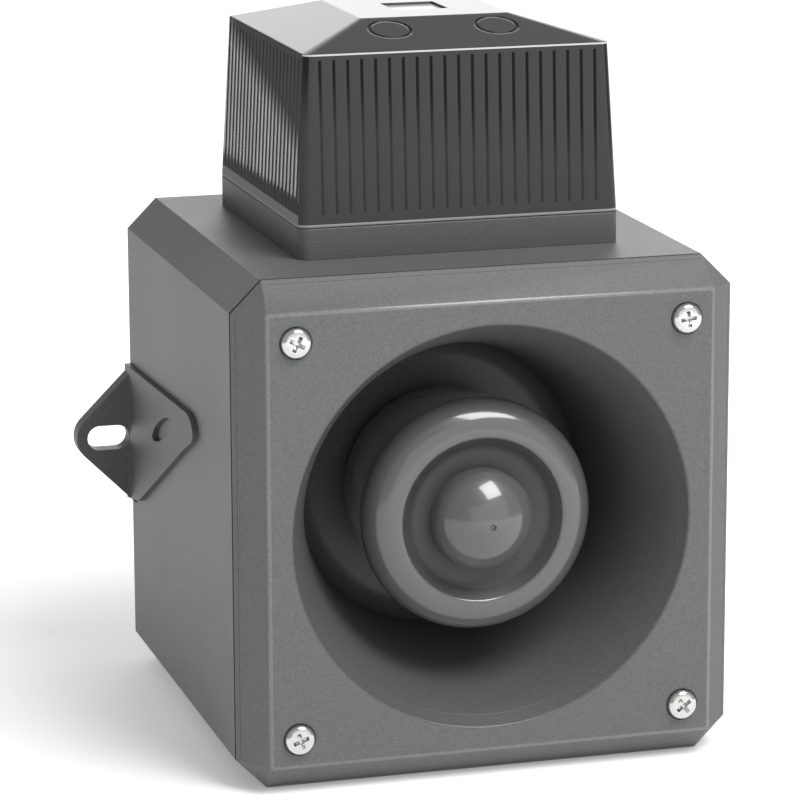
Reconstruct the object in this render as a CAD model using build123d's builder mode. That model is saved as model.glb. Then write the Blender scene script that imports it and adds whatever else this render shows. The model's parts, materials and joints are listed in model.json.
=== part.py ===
from build123d import *
from math import atan, degrees, hypot
import os

os.makedirs("parts", exist_ok=True)

# An industrial alarm sounder with a flashing beacon on its roof. Millimetres, +Z up, the horn faces -Y.
# The origin is the middle of the flat bottom. Depths are counted backwards from the front face.

# Casing
casing_width = 134.0
casing_height = 134.0
casing_depth = 130.0
edge_chamfer = 8.2
housing_wall = 3.5
housing_back_wall = 3.0
seam_groove = 0.6
blind_hole_floor = 2.0

# Shares that every pan head screw follows
head_side_share = 0.4
cross_width_share = 0.28
cross_depth_share = 0.55
tip_radius_share = 0.7
tip_length_share = 0.6

# Front cover
cover_depth = 8.2
cover_face_inset = 7.6
cover_corner_cut = 0.2
cover_face_thickness = 4.0
spigot_length = 4.0
spigot_wall = 2.4
spigot_clearance = 0.35
gasket_width = 2.0
gasket_groove_depth = 1.2

# Cover screws and the housing pillars that they go into
cover_screw_margin = 15.0
cover_screw_head_radius = 4.0
cover_screw_head_height = 2.5
cover_screw_head_proud = 1.9
cover_screw_cross = 4.2
cover_screw_radius = 2.0
cover_screw_length = 24.0
cover_screw_hole_radius = 2.3
pilot_clearance = 0.05
pillar_radius = 4.6
pillar_length = 34.0
pillar_web = 2.4
pillar_gap = 0.1

# Horn mouth and flare
mouth_margin = 13.8
mouth_back_narrowing = 1.9
flare_middle_narrowing = 8.6
flare_middle_depth = 21.0
flare_throat_narrowing = 13.7
flare_wall = 2.5
flare_floor_thickness = 3.0
flare_corner_radius = 6.0
flange_reach = 5.8
flange_thickness = 2.6
flare_seal_reach = 1.4
flare_seal_width = 1.8
flare_seal_groove = 1.1
flare_seal_clearance = 0.1
flare_screw_reach = 4.78
flare_screw_radius = 1.5
flare_screw_bite = 2.8
flare_screw_head_radius = 2.8
flare_screw_head_height = 1.8
flare_screw_cross = 2.8
flare_ear_radius = 4.2

# Throat tube with its hub
throat_radius = 5.0
throat_front_radius = 8.0
throat_wall = 1.8
throat_front_depth = 24.0
hub_radius = 3.8
hub_length = 12.0
hub_vane = 1.6
hub_vanes = 3
bell_screw_radius = 2.0

# Re-entrant bell
bell_radius = 30.8
bell_roll_radius = 8.8
bell_skirt_radius = 26.4
bell_floor_gap = 8.0
bell_crest_depth = 8.8
bell_trough_radius = 18.6
bell_trough_depth = 12.4
bell_wall = 2.2
bell_well_radius = 6.6
bell_well_depth = 16.2
bell_screw_length = 14.0
bell_screw_head_radius = 3.8
bell_screw_head_height = 2.4
bell_screw_cross = 4.0

# Nose cap
nose_radius = 13.2
nose_rim_depth = 8.0
nose_tip_depth = 0.3
nose_wall = 1.8
nose_plug_clearance = 0.1
nose_plug_length = 2.6
nose_dimple_radius = 0.9

# Horn driver behind the flare
driver_gasket_thickness = 1.0
driver_gasket_margin = 1.0
driver_gasket_width = 5.0
driver_plate_side = 62.0
driver_corner_radius = 6.0
driver_screw_spacing = 51.0
driver_screw_radius = 1.75
driver_screw_hole_radius = 2.0
driver_screw_bite = 8.0
driver_screw_head_radius = 3.4
driver_screw_head_height = 2.4
driver_screw_cross = 3.4
driver_boss_radius = 4.2
driver_front_radius = 31.0
driver_front_thickness = 7.6
driver_rim_recess = 1.6
driver_rim_radius = 26.0
driver_rim_width = 2.0
driver_rim_slack = 0.2
dish_edge_margin = 0.4
dish_middle_radius = 9.4
dish_middle_rise = 1.3
dish_throat_rise = 0.4
driver_top_thickness = 5.0
magnet_radius = 29.0
magnet_hole_radius = 17.0
magnet_thickness = 12.0
back_plate_radius = 29.6
back_plate_thickness = 5.0
back_plate_chamfer = 0.8
pole_drop = 0.3
pole_gap = 0.6
coil_radius = 12.5
coil_former_wall = 0.3
coil_wall = 0.6
coil_gap = 0.6
coil_length = 5.0
coil_lead = 1.6
diaphragm_thickness = 0.6
diaphragm_rise = 3.2
diaphragm_roll = 1.1
diaphragm_clearance = 0.5
diaphragm_rim_gap = 0.3
diaphragm_travel = 0.3

# Sounder circuit board on pillars from the back wall
board_pad_gap = 3.25
board_thickness = 1.6
board_corner_radius = 3.0
board_standoff = 13.0
board_clearance = 20.8
board_screw_margin = 5.0
board_pillar_radius = 3.8
board_screw_radius = 1.5
board_screw_length = 8.0
board_screw_head_radius = 2.8
board_screw_head_height = 1.9
board_screw_cross = 2.8
board_pillar_floor = 1.0
board_hole_clearance = 0.2

# Terminal block
terminal_ways = 6
terminal_pitch = 5.0
terminal_depth = 11.0
terminal_height = 14.0
terminal_screw_radius = 1.6
terminal_screw_length = 4.0
terminal_screw_sink = 1.0
terminal_screw_clearance = 0.1
terminal_slot_width = 0.6
terminal_slot_depth = 0.8
terminal_margin = 4.0
wire_hole_side = 3.0
wire_hole_length = 8.4
wire_hole_setback = 1.0

# Tone switch
switch_levers = 5
switch_pitch = 2.54
switch_body_height = 9.0
switch_body_depth = 4.2
switch_end = 1.6
lever_width = 1.2
lever_length = 2.0
lever_proud = 0.9
lever_travel = 1.8
lever_clearance = 0.06
lever_well_depth = 2.4
lever_chamfer = 0.3
switch_margin = 14.0
switch_drop = 16.0

# Volume trimmer
trimmer_side = 9.5
trimmer_depth = 5.0
trimmer_rotor_radius = 3.0
trimmer_rotor_proud = 0.6
trimmer_rotor_depth = 2.2
trimmer_slot_width = 0.8
trimmer_slot_depth = 0.7
trimmer_clearance = 0.06
trimmer_margin = 28.0

# Other parts on the board
capacitor_radius = 5.0
capacitor_height = 14.0
capacitor_pitch = 12.0
capacitor_margin = 7.0
capacitor_drop = 15.5
capacitor_fillet = 0.8
transformer_width = 20.0
transformer_height = 16.0
transformer_depth = 13.0
transformer_coil = 3.0
transformer_coil_width = 11.0
transformer_coil_lift = 1.5
transformer_side_margin = 20.0
transformer_top_margin = 6.0
connector_width = 7.5
connector_height = 5.8
connector_depth = 7.0
connector_wall = 0.8
connector_pin_pitch = 2.5
connector_pin_sink = 1.0
connector_margin = 10.0
connector_rise = 8.0

# Cable entries in the bottom, one open and one plugged
entry_radius = 9.19
entry_spacing = 52.0
entry_back_distance = 34.0
entry_boss_radius = 13.0
entry_boss_length = 8.0
plug_clearance = 0.06
plug_length = 9.0
plug_groove_depth = 1.0
plug_groove_width = 1.8
plug_groove_height = 2.0
plug_hex = 8.0
plug_hex_depth = 5.0
seal_squeeze = 0.04

# Mounting lugs
lug_half_diagonal = 19.65
lug_corner_radius = 7.0
lug_thickness = 5.0
lug_slot_length = 12.0
lug_slot_width = 7.0
lug_slot_offset = 7.7
lug_fit = 0.1
cheek_thickness = 1.6
cheek_top_reach = 76.0
cheek_tip_reach = 84.5
cheek_low_reach = 70.0
cheek_foot_reach = 15.0
cheek_top_rise = 20.0
cheek_top_front_rise = 23.3
cheek_tip_rise = 19.6
cheek_low_rise = 10.7
cheek_foot_drop = 16.4
cheek_back_drop = 19.0
cheek_hole_reach = 46.8
cheek_hole_rise = 11.6
cheek_hole_half_length = 13.0
cheek_hole_half_height = 2.65
cheek_hole_tilt = 21.6
lug_screw_offset = 8.6
lug_screw_radius = 2.5
lug_screw_bite = 9.0
lug_screw_head_radius = 4.6
lug_screw_head_gap = 0.1
lug_screw_cross = 4.4
lug_screw_cross_width = 1.2
lug_screw_cross_depth = 1.5
lug_pad_margin = 4.0
lug_pad_length = 17.0

# Beacon base
beacon_side = 87.0
beacon_front_depth = 29.0
beacon_corner_radius = 3.0
beacon_base_height = 8.4
beacon_floor = 2.6
beacon_base_chamfer = 0.4
beacon_lip_wall = 1.8
beacon_lip_height = 5.0
beacon_lip_clearance = 0.25
beacon_wire_hole_radius = 6.0
beacon_screw_spacing = 62.0
beacon_screw_radius = 2.0
beacon_screw_length = 9.0
beacon_screw_hole_radius = 2.3
beacon_screw_head_radius = 3.8
beacon_screw_head_height = 2.4
beacon_screw_cross = 4.0
screw_end_gap = 1.0
beacon_boss_radius = 4.4
beacon_boss_height = 11.0
base_gasket_side = 78.0
base_gasket_width = 3.0
base_gasket_thickness = 1.2
lens_seal_thickness = 1.2
lens_seal_width = 1.4
inner_corner_drop = 1.0

# Beacon lens
lens_height = 44.4
lens_taper = 2.3
lens_wall = 2.6
roof_height = 6.0
roof_wall_drop = 1.8
plateau_half = 20.4
plateau_corner_radius = 1.5
eave_corner_radius = 2.6
lens_band = 3.2
flutes_per_side = 20
flute_margin = 1.6
flute_groove_width = 0.9
flute_groove_depth = 0.45
flute_groove_lap = 0.05
flute_top_gap = 1.6
roof_recess_side = 14.5
roof_recess_depth = 0.6
roof_ring_radius = 5.75
roof_ring_width = 0.7
roof_ring_depth = 0.5
roof_ring_offset = 14.5
roof_ring_inset = 7.4

# Beacon electronics
beacon_board_side = 64.0
beacon_board_thickness = 1.6
beacon_board_corner = 2.0
beacon_board_screw_spacing = 52.0
beacon_board_screw_radius = 1.25
beacon_board_screw_bite = 6.0
beacon_board_screw_head_radius = 2.4
beacon_board_screw_head_height = 1.7
beacon_board_screw_cross = 2.4
beacon_board_pillar_radius = 3.0
reflector_radius = 17.0
reflector_floor_radius = 11.0
reflector_height = 6.0
reflector_wall = 0.8
reflector_socket_gap = 0.2
reflector_bow_rise = 2.16
reflector_outer_bow = 0.6
socket_radius = 8.5
socket_height = 7.0
socket_hole_depth = 4.0
flash_tube_radius = 2.6
flash_tube_bend = 5.5
flash_tube_leg_height = 22.0
flash_tube_fit = 0.05
flash_capacitor_radius = 6.5
flash_capacitor_length = 26.0
flash_capacitor_offset = 24.5
trigger_width = 8.0
trigger_height = 9.0
trigger_offset = 24.0
trigger_corner = 1.0

# Places worked out from the sizes
total_depth = casing_depth + cover_screw_head_proud
back_y = total_depth / 2
front_y = back_y - casing_depth
axis_z = casing_height / 2
half_width = casing_width / 2
cover_screw_span = casing_width - 2 * cover_screw_margin
cover_screw_rise = casing_height - 2 * cover_screw_margin
beacon_y = front_y + beacon_front_depth + beacon_side / 2
horn_axis = Axis((0, front_y, axis_z), (0, 1, 0))
horn_section = Plane(origin=(0, front_y, axis_z), x_dir=(1, 0, 0), z_dir=(0, 0, 1))


def facing(depth):
    """A plane parallel to the front face at this depth, seen from the front."""
    return Plane(origin=(0, front_y + depth, axis_z), x_dir=(1, 0, 0), z_dir=(0, -1, 0))


def beacon_plane(height):
    """A level plane centred on the beacon, this far above the casing's top."""
    return Plane(origin=(0, beacon_y, casing_height + height), x_dir=(1, 0, 0), z_dir=(0, 0, 1))


def casing_outline(inset):
    """The casing's square outline with its four cut corners, moved inwards by this much."""
    corner_cut = edge_chamfer - inset * (2 - 2 ** 0.5)
    outline = Rectangle(casing_width - 2 * inset, casing_height - 2 * inset)
    chamfer(outline.vertices(), length=corner_cut)


def lug_outline(half_diagonal):
    """A square stood on its corner, with its left and right corners rounded."""
    with BuildSketch(Plane.XY) as outline:
        Rectangle(2 ** 0.5 * half_diagonal, 2 ** 0.5 * half_diagonal, rotation=45)
        corners = outline.vertices().sort_by(Axis.X)
        fillet([corners[0], corners[-1]], radius=lug_corner_radius)
    return outline


def backing(depth):
    """A plane parallel to the front face at this depth, seen from behind."""
    return Plane(origin=(0, front_y + depth, axis_z), x_dir=(1, 0, 0), z_dir=(0, 1, 0))


def make_pan_screw(head_radius, head_height, shank_radius, shank_length, cross):
    """A pan head screw on +Z with its seat at zero and a cross recess in the domed head."""
    side_height = head_height * head_side_share
    dome_height = head_height - side_height
    dome_radius = (head_radius ** 2 + dome_height ** 2) / (2 * dome_height)
    dome_middle = head_height - dome_radius + (dome_radius ** 2 - head_radius ** 2 / 4) ** 0.5
    with BuildPart() as screw:
        with BuildSketch(Plane.XZ):
            with BuildLine():
                Polyline(
                    (0, head_height),
                    (0, -shank_length),
                    (shank_radius * tip_radius_share, -shank_length),
                    (shank_radius, shank_radius * tip_length_share - shank_length),
                    (shank_radius, 0),
                    (head_radius, 0),
                    (head_radius, side_height),
                )
                ThreePointArc((head_radius, side_height), (head_radius / 2, dome_middle), (0, head_height))
            make_face()
        revolve(axis=Axis.Z)
        with Locations((0, 0, head_height)):
            cross_height = 2 * head_height * cross_depth_share
            Box(cross, cross * cross_width_share, cross_height, mode=Mode.SUBTRACT)
            Box(cross * cross_width_share, cross, cross_height, mode=Mode.SUBTRACT)
    return screw.part


# The mouth fits the casing's smaller side, and the flare follows the mouth
mouth_radius = min(casing_width, casing_height) / 2 - mouth_margin
mouth_back_radius = mouth_radius - mouth_back_narrowing
flare_middle_radius = mouth_radius - flare_middle_narrowing
flare_throat_radius = mouth_radius - flare_throat_narrowing
flange_radius = mouth_radius + flange_reach
flare_seal_radius = mouth_radius + flare_seal_reach
flare_screw_spacing = (mouth_radius + flare_screw_reach) * 2 ** 0.5

# The board hangs from the back wall between the lug pads, and the driver ends clear of it
rear_inner_depth = casing_depth - housing_back_wall
lug_pocket_half = lug_half_diagonal + lug_fit
pad_width = lug_pocket_half + lug_pad_margin
board_half = half_width - pad_width - board_pad_gap
board_side = 2 * board_half
board_screw_spacing = board_side - 2 * board_screw_margin
board_back_depth = rear_inner_depth - board_standoff
board_front_depth = board_back_depth - board_thickness
driver_stack = (
    driver_gasket_thickness
    + driver_front_thickness
    + driver_top_thickness
    + magnet_thickness
    + back_plate_thickness
)
flare_floor_depth = board_front_depth - board_clearance - driver_stack - flare_floor_thickness

# Rear housing: the chamfered box, open at the front
web_reach = cover_screw_margin - housing_wall / 2
half_entry = entry_spacing / 2
entry_y = back_y - entry_back_distance
lug_screw_x = half_width - lug_screw_offset
with BuildPart() as rear_housing:
    with BuildSketch(facing(casing_depth)):
        casing_outline(0)
    extrude(amount=casing_depth - cover_depth)
    with BuildSketch(facing(rear_inner_depth)):
        casing_outline(housing_wall)
    extrude(amount=rear_inner_depth - cover_depth, mode=Mode.SUBTRACT)
    # Fine groove all round where the cover meets the housing
    with BuildSketch(facing(cover_depth + seam_groove)):
        casing_outline(0)
        with BuildSketch(mode=Mode.SUBTRACT):
            casing_outline(seam_groove)
    extrude(amount=seam_groove, mode=Mode.SUBTRACT)
    # Screw pillars in the corners, each tied to its two walls by webs
    pillar_start = cover_depth + spigot_length + pillar_gap
    with BuildSketch(facing(pillar_start + pillar_length)):
        with GridLocations(cover_screw_span, cover_screw_rise, 2, 2):
            Circle(pillar_radius)
        with GridLocations(cover_screw_span + web_reach, cover_screw_rise, 2, 2):
            Rectangle(web_reach, pillar_web)
        with GridLocations(cover_screw_span, cover_screw_rise + web_reach, 2, 2):
            Rectangle(pillar_web, web_reach)
    extrude(amount=pillar_length)
    # Thickened pads behind the lugs, for the lug screws
    for side in (-1, 1):
        with Locations((side * (half_width - pad_width / 2), back_y - lug_pad_length / 2, axis_z)):
            Box(pad_width, lug_pad_length, 2 * (lug_pocket_half + lug_pad_margin))
    # Board pillars on the back wall
    with BuildSketch(facing(rear_inner_depth)):
        with GridLocations(board_screw_spacing, board_screw_spacing, 2, 2):
            Circle(board_pillar_radius)
    extrude(amount=board_standoff)
    # Bosses round the two cable entries in the bottom
    with BuildSketch(Plane.XY.offset(housing_wall / 2)):
        with Locations((-half_entry, entry_y), (half_entry, entry_y)):
            Circle(entry_boss_radius)
    extrude(amount=entry_boss_length - housing_wall / 2)
    with BuildSketch(Plane.XY):
        with Locations((-half_entry, entry_y), (half_entry, entry_y)):
            Circle(entry_radius)
    extrude(amount=entry_boss_length, mode=Mode.SUBTRACT)
    # Pockets for the hidden halves of the lugs
    with BuildSketch(facing(casing_depth)):
        for side in (-1, 1):
            with Locations((side * half_width, 0)):
                add(lug_outline(lug_pocket_half).sketch)
    extrude(amount=lug_thickness, mode=Mode.SUBTRACT)
    # Screw holes: cover pillars, board pillars, lug pads, beacon screws and the beacon's wires
    with BuildSketch(facing(pillar_start + pillar_length - blind_hole_floor)):
        with GridLocations(cover_screw_span, cover_screw_rise, 2, 2):
            Circle(cover_screw_radius + pilot_clearance)
    extrude(amount=pillar_length, mode=Mode.SUBTRACT)
    with BuildSketch(facing(rear_inner_depth - board_pillar_floor)):
        with GridLocations(board_screw_spacing, board_screw_spacing, 2, 2):
            Circle(board_screw_radius + pilot_clearance)
    extrude(amount=board_standoff, mode=Mode.SUBTRACT)
    with BuildSketch(facing(casing_depth)):
        with Locations((-lug_screw_x, 0), (lug_screw_x, 0)):
            Circle(lug_screw_radius + pilot_clearance)
    extrude(amount=lug_thickness + lug_screw_bite, mode=Mode.SUBTRACT)
    with BuildSketch(Plane.XY.offset(casing_height)):
        with Locations((0, beacon_y)):
            Circle(beacon_wire_hole_radius)
            with GridLocations(beacon_screw_spacing, beacon_screw_spacing, 2, 2):
                Circle(beacon_screw_hole_radius)
    extrude(amount=-housing_wall, mode=Mode.SUBTRACT)
rear_housing.part.label = "rear_housing"
export_step(rear_housing.part, "parts/rear_housing.step")

# Front cover: a chamfered tray with a sharp cornered square face and the horn mouth
cover_inset = housing_wall + spigot_clearance
with BuildPart() as front_cover:
    with BuildSketch(facing(cover_depth)):
        casing_outline(0)
    with BuildSketch(facing(0)):
        face = Rectangle(casing_width - 2 * cover_face_inset, casing_height - 2 * cover_face_inset)
        chamfer(face.vertices(), length=cover_corner_cut)
    loft(ruled=True)
    # Spigot that enters the housing
    with BuildSketch(facing(cover_depth + spigot_length)):
        casing_outline(cover_inset)
    extrude(amount=spigot_length)
    with BuildSketch(facing(cover_depth + spigot_length)):
        casing_outline(cover_inset + spigot_wall)
    extrude(amount=cover_depth + spigot_length - cover_face_thickness, mode=Mode.SUBTRACT)
    # Screw bosses that reach the housing's pillars
    with BuildSketch(facing(cover_depth + spigot_length)):
        with GridLocations(cover_screw_span, cover_screw_rise, 2, 2):
            Circle(pillar_radius)
    extrude(amount=cover_depth + spigot_length - cover_face_thickness / 2)
    # Horn mouth
    with BuildSketch(horn_section):
        Polygon(
            (0, 0),
            (mouth_radius, 0),
            (mouth_back_radius, cover_face_thickness),
            (0, cover_face_thickness),
            align=None,
        )
    revolve(axis=horn_axis, mode=Mode.SUBTRACT)
    # Seats for the screw heads and the holes through the bosses
    with BuildSketch(facing(0)):
        with GridLocations(cover_screw_span, cover_screw_rise, 2, 2):
            Circle(cover_screw_head_radius + cover_screw_hole_radius - cover_screw_radius)
    extrude(amount=cover_screw_head_proud - cover_screw_head_height, mode=Mode.SUBTRACT)
    with BuildSketch(facing(0)):
        with GridLocations(cover_screw_span, cover_screw_rise, 2, 2):
            Circle(cover_screw_hole_radius)
    extrude(amount=-(cover_depth + spigot_length), mode=Mode.SUBTRACT)
    # Groove for the housing gasket, groove for the flare seal and blind holes for the flare screws
    gasket_inset = seam_groove + (housing_wall - seam_groove - gasket_width) / 2
    with BuildSketch(facing(cover_depth)):
        casing_outline(gasket_inset)
        with BuildSketch(mode=Mode.SUBTRACT):
            casing_outline(gasket_inset + gasket_width)
    extrude(amount=gasket_groove_depth, mode=Mode.SUBTRACT)
    with BuildSketch(facing(cover_face_thickness)):
        Circle(flare_seal_radius + flare_seal_width / 2)
        Circle(flare_seal_radius - flare_seal_width / 2, mode=Mode.SUBTRACT)
    extrude(amount=flare_seal_groove, mode=Mode.SUBTRACT)
    with BuildSketch(facing(cover_face_thickness)):
        with GridLocations(flare_screw_spacing, flare_screw_spacing, 2, 2):
            Circle(flare_screw_radius + pilot_clearance)
    extrude(amount=flare_screw_bite, mode=Mode.SUBTRACT)
front_cover.part.label = "front_cover"
export_step(front_cover.part, "parts/front_cover.step")

# Gasket between the cover and the housing's rim, filling the cover's groove
with BuildPart() as cover_gasket:
    with BuildSketch(facing(cover_depth)):
        casing_outline(gasket_inset)
        with BuildSketch(mode=Mode.SUBTRACT):
            casing_outline(gasket_inset + gasket_width)
    extrude(amount=gasket_groove_depth)
cover_gasket.part.label = "cover_gasket"
export_step(cover_gasket.part, "parts/cover_gasket.step")

# Four cover screws
cover_screw = make_pan_screw(
    cover_screw_head_radius,
    cover_screw_head_height,
    cover_screw_radius,
    cover_screw_length,
    cover_screw_cross,
)
with BuildPart() as cover_screws:
    with Locations(facing(cover_screw_head_height - cover_screw_head_proud)):
        with GridLocations(cover_screw_span, cover_screw_rise, 2, 2):
            add(cover_screw)
cover_screws.part.label = "cover_screws"
export_step(cover_screws.part, "parts/cover_screws.step")

# Horn flare: mouth flange, flared wall, floor and the throat tube with its vaned hub
floor_back_depth = flare_floor_depth + flare_floor_thickness
flange_back_depth = cover_face_thickness + flange_thickness
with BuildPart() as horn_flare:
    with BuildSketch(horn_section):
        with BuildLine():
            ThreePointArc(
                (mouth_back_radius, cover_face_thickness),
                (flare_middle_radius, flare_middle_depth),
                (flare_throat_radius, flare_floor_depth - flare_corner_radius),
            )
            corner_middle = flare_corner_radius * (1 - 0.5 ** 0.5)
            ThreePointArc(
                (flare_throat_radius, flare_floor_depth - flare_corner_radius),
                (flare_throat_radius - corner_middle, flare_floor_depth - corner_middle),
                (flare_throat_radius - flare_corner_radius, flare_floor_depth),
            )
            Polyline(
                (flare_throat_radius - flare_corner_radius, flare_floor_depth),
                (throat_radius + throat_wall, flare_floor_depth),
                (throat_front_radius + throat_wall, throat_front_depth),
                (throat_front_radius, throat_front_depth),
                (throat_radius, floor_back_depth),
                (flare_throat_radius + flare_wall, floor_back_depth),
                (flare_throat_radius + flare_wall, flare_floor_depth - flare_corner_radius),
            )
            ThreePointArc(
                (flare_throat_radius + flare_wall, flare_floor_depth - flare_corner_radius),
                (flare_middle_radius + flare_wall, flare_middle_depth + flange_thickness / 2),
                (mouth_back_radius + flare_wall, flange_back_depth),
            )
            Polyline(
                (mouth_back_radius + flare_wall, flange_back_depth),
                (flange_radius, flange_back_depth),
                (flange_radius, cover_face_thickness),
                (mouth_back_radius, cover_face_thickness),
            )
        make_face()
    revolve(axis=horn_axis)
    # Ears for the flare screws
    with BuildSketch(facing(flange_back_depth)):
        with GridLocations(flare_screw_spacing, flare_screw_spacing, 2, 2):
            Circle(flare_ear_radius)
    extrude(amount=flange_thickness)
    with BuildSketch(facing(flange_back_depth)):
        with GridLocations(flare_screw_spacing, flare_screw_spacing, 2, 2):
            Circle(flare_screw_radius + pilot_clearance)
    extrude(amount=flange_thickness, mode=Mode.SUBTRACT)
    # Hub and its vanes inside the tube's front end
    with BuildSketch(facing(throat_front_depth + hub_length)):
        Circle(hub_radius)
        with PolarLocations((hub_radius + throat_front_radius) / 2, hub_vanes, start_angle=90):
            Rectangle(throat_front_radius - hub_radius + throat_wall / 2, hub_vane)
    extrude(amount=hub_length)
    with BuildSketch(facing(throat_front_depth)):
        Circle(bell_screw_radius + pilot_clearance)
    extrude(amount=blind_hole_floor - hub_length, mode=Mode.SUBTRACT)
    # Bosses on the floor's back for the driver
    boss_back_depth = floor_back_depth + driver_gasket_thickness + driver_front_thickness
    with BuildSketch(facing(boss_back_depth - pillar_gap)):
        with GridLocations(driver_screw_spacing, driver_screw_spacing, 2, 2):
            Circle(driver_boss_radius)
    extrude(amount=boss_back_depth - pillar_gap - floor_back_depth)
    with BuildSketch(facing(boss_back_depth)):
        with GridLocations(driver_screw_spacing, driver_screw_spacing, 2, 2):
            Circle(driver_screw_radius + pilot_clearance)
    extrude(amount=driver_screw_bite, mode=Mode.SUBTRACT)
horn_flare.part.label = "horn_flare"
export_step(horn_flare.part, "parts/horn_flare.step")

# Seal ring in the cover's groove, against the flare's flange
with BuildPart() as flare_seal:
    with BuildSketch(facing(cover_face_thickness)):
        Circle(flare_seal_radius + flare_seal_width / 2 - flare_seal_clearance)
        Circle(flare_seal_radius - flare_seal_width / 2 + flare_seal_clearance, mode=Mode.SUBTRACT)
    extrude(amount=flare_seal_groove)
flare_seal.part.label = "flare_seal"
export_step(flare_seal.part, "parts/flare_seal.step")

# Four screws that hold the flare to the cover, driven from behind
flare_screw = make_pan_screw(
    flare_screw_head_radius,
    flare_screw_head_height,
    flare_screw_radius,
    flange_thickness + flare_screw_bite,
    flare_screw_cross,
)
with BuildPart() as flare_screws:
    with Locations(backing(flange_back_depth)):
        with GridLocations(flare_screw_spacing, flare_screw_spacing, 2, 2):
            add(flare_screw)
flare_screws.part.label = "flare_screws"
export_step(flare_screws.part, "parts/flare_screws.step")

# Re-entrant bell: skirt, rolled shoulder, crisp crest, trough, screw well and the boss that sits on the hub
well_floor_depth = bell_well_depth + bell_wall
bell_back_depth = flare_floor_depth - bell_floor_gap
bell_roll_depth = bell_crest_depth + bell_roll_radius
bell_crest_radius = bell_radius - bell_roll_radius
with BuildPart() as horn_bell:
    with BuildSketch(horn_section):
        with BuildLine():
            Line((bell_skirt_radius, bell_back_depth), (bell_radius, bell_roll_depth))
            roll_corner = bell_roll_radius * 0.5 ** 0.5
            ThreePointArc(
                (bell_radius, bell_roll_depth),
                (bell_crest_radius + roll_corner, bell_roll_depth - roll_corner),
                (bell_crest_radius, bell_crest_depth),
            )
            Polyline(
                (bell_crest_radius, bell_crest_depth),
                (bell_trough_radius, bell_trough_depth),
                (bell_well_radius, bell_trough_depth),
                (bell_well_radius, bell_well_depth),
                (bell_screw_radius + pilot_clearance, bell_well_depth),
                (bell_screw_radius + pilot_clearance, throat_front_depth),
                (hub_radius, throat_front_depth),
                (hub_radius, well_floor_depth),
                (bell_well_radius + bell_wall, well_floor_depth),
                (bell_well_radius + bell_wall, bell_trough_depth + bell_wall),
                (bell_trough_radius + bell_wall / 2, bell_trough_depth + bell_wall),
                (bell_crest_radius, bell_crest_depth + bell_wall),
            )
            inner_corner = (bell_roll_radius - bell_wall) * 0.5 ** 0.5
            ThreePointArc(
                (bell_crest_radius, bell_crest_depth + bell_wall),
                (bell_crest_radius + inner_corner, bell_roll_depth - inner_corner),
                (bell_radius - bell_wall, bell_roll_depth),
            )
            Polyline(
                (bell_radius - bell_wall, bell_roll_depth),
                (bell_skirt_radius - bell_wall, bell_back_depth),
                (bell_skirt_radius, bell_back_depth),
            )
        make_face()
    revolve(axis=horn_axis)
horn_bell.part.label = "horn_bell"
export_step(horn_bell.part, "parts/horn_bell.step")

# Screw that holds the bell to the hub, its head in the bell's well
bell_pan_screw = make_pan_screw(
    bell_screw_head_radius, bell_screw_head_height, bell_screw_radius, bell_screw_length, bell_screw_cross
)
with BuildPart() as bell_screw:
    with Locations(facing(bell_well_depth)):
        add(bell_pan_screw)
bell_screw.part.label = "bell_screw"
export_step(bell_screw.part, "parts/bell_screw.step")

# Nose cap pressed into the bell's well
nose_plug_radius = bell_well_radius - nose_plug_clearance
nose_rise = nose_rim_depth - nose_tip_depth
nose_sphere_radius = (nose_radius ** 2 + nose_rise ** 2) / (2 * nose_rise)


def under_nose(radius):
    """The point of the cap's inner sphere at this radius."""
    inner_sphere_radius = nose_sphere_radius - nose_wall
    return radius, nose_tip_depth + nose_sphere_radius - (inner_sphere_radius ** 2 - radius ** 2) ** 0.5


with BuildPart() as nose_cap:
    with BuildSketch(horn_section):
        with BuildLine():
            Line(under_nose(0), (0, nose_tip_depth))
            nose_middle_sink = nose_sphere_radius - (nose_sphere_radius ** 2 - nose_radius ** 2 / 4) ** 0.5
            ThreePointArc(
                (0, nose_tip_depth),
                (nose_radius / 2, nose_tip_depth + nose_middle_sink),
                (nose_radius, nose_rim_depth),
            )
            Polyline(
                (nose_radius, nose_rim_depth),
                (nose_radius, bell_trough_depth),
                (nose_radius - nose_wall, bell_trough_depth),
                under_nose(nose_radius - nose_wall),
                under_nose(nose_plug_radius),
                (nose_plug_radius, bell_trough_depth + nose_plug_length),
                (nose_plug_radius - nose_wall, bell_trough_depth + nose_plug_length),
                under_nose(nose_plug_radius - nose_wall),
                under_nose(0),
            )
        make_face()
    revolve(axis=horn_axis)
    with Locations((0, front_y + nose_tip_depth, axis_z)):
        Sphere(nose_dimple_radius, mode=Mode.SUBTRACT)
nose_cap.part.label = "nose_cap"
export_step(nose_cap.part, "parts/nose_cap.step")

# Driver gasket, between the flare's floor and the driver
gasket_back_depth = floor_back_depth + driver_gasket_thickness
with BuildPart() as driver_gasket:
    with BuildSketch(facing(gasket_back_depth)):
        Circle(driver_front_radius - driver_gasket_margin)
        Circle(driver_front_radius - driver_gasket_margin - driver_gasket_width, mode=Mode.SUBTRACT)
    extrude(amount=driver_gasket_thickness)
driver_gasket.part.label = "driver_gasket"
export_step(driver_gasket.part, "parts/driver_gasket.step")

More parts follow.
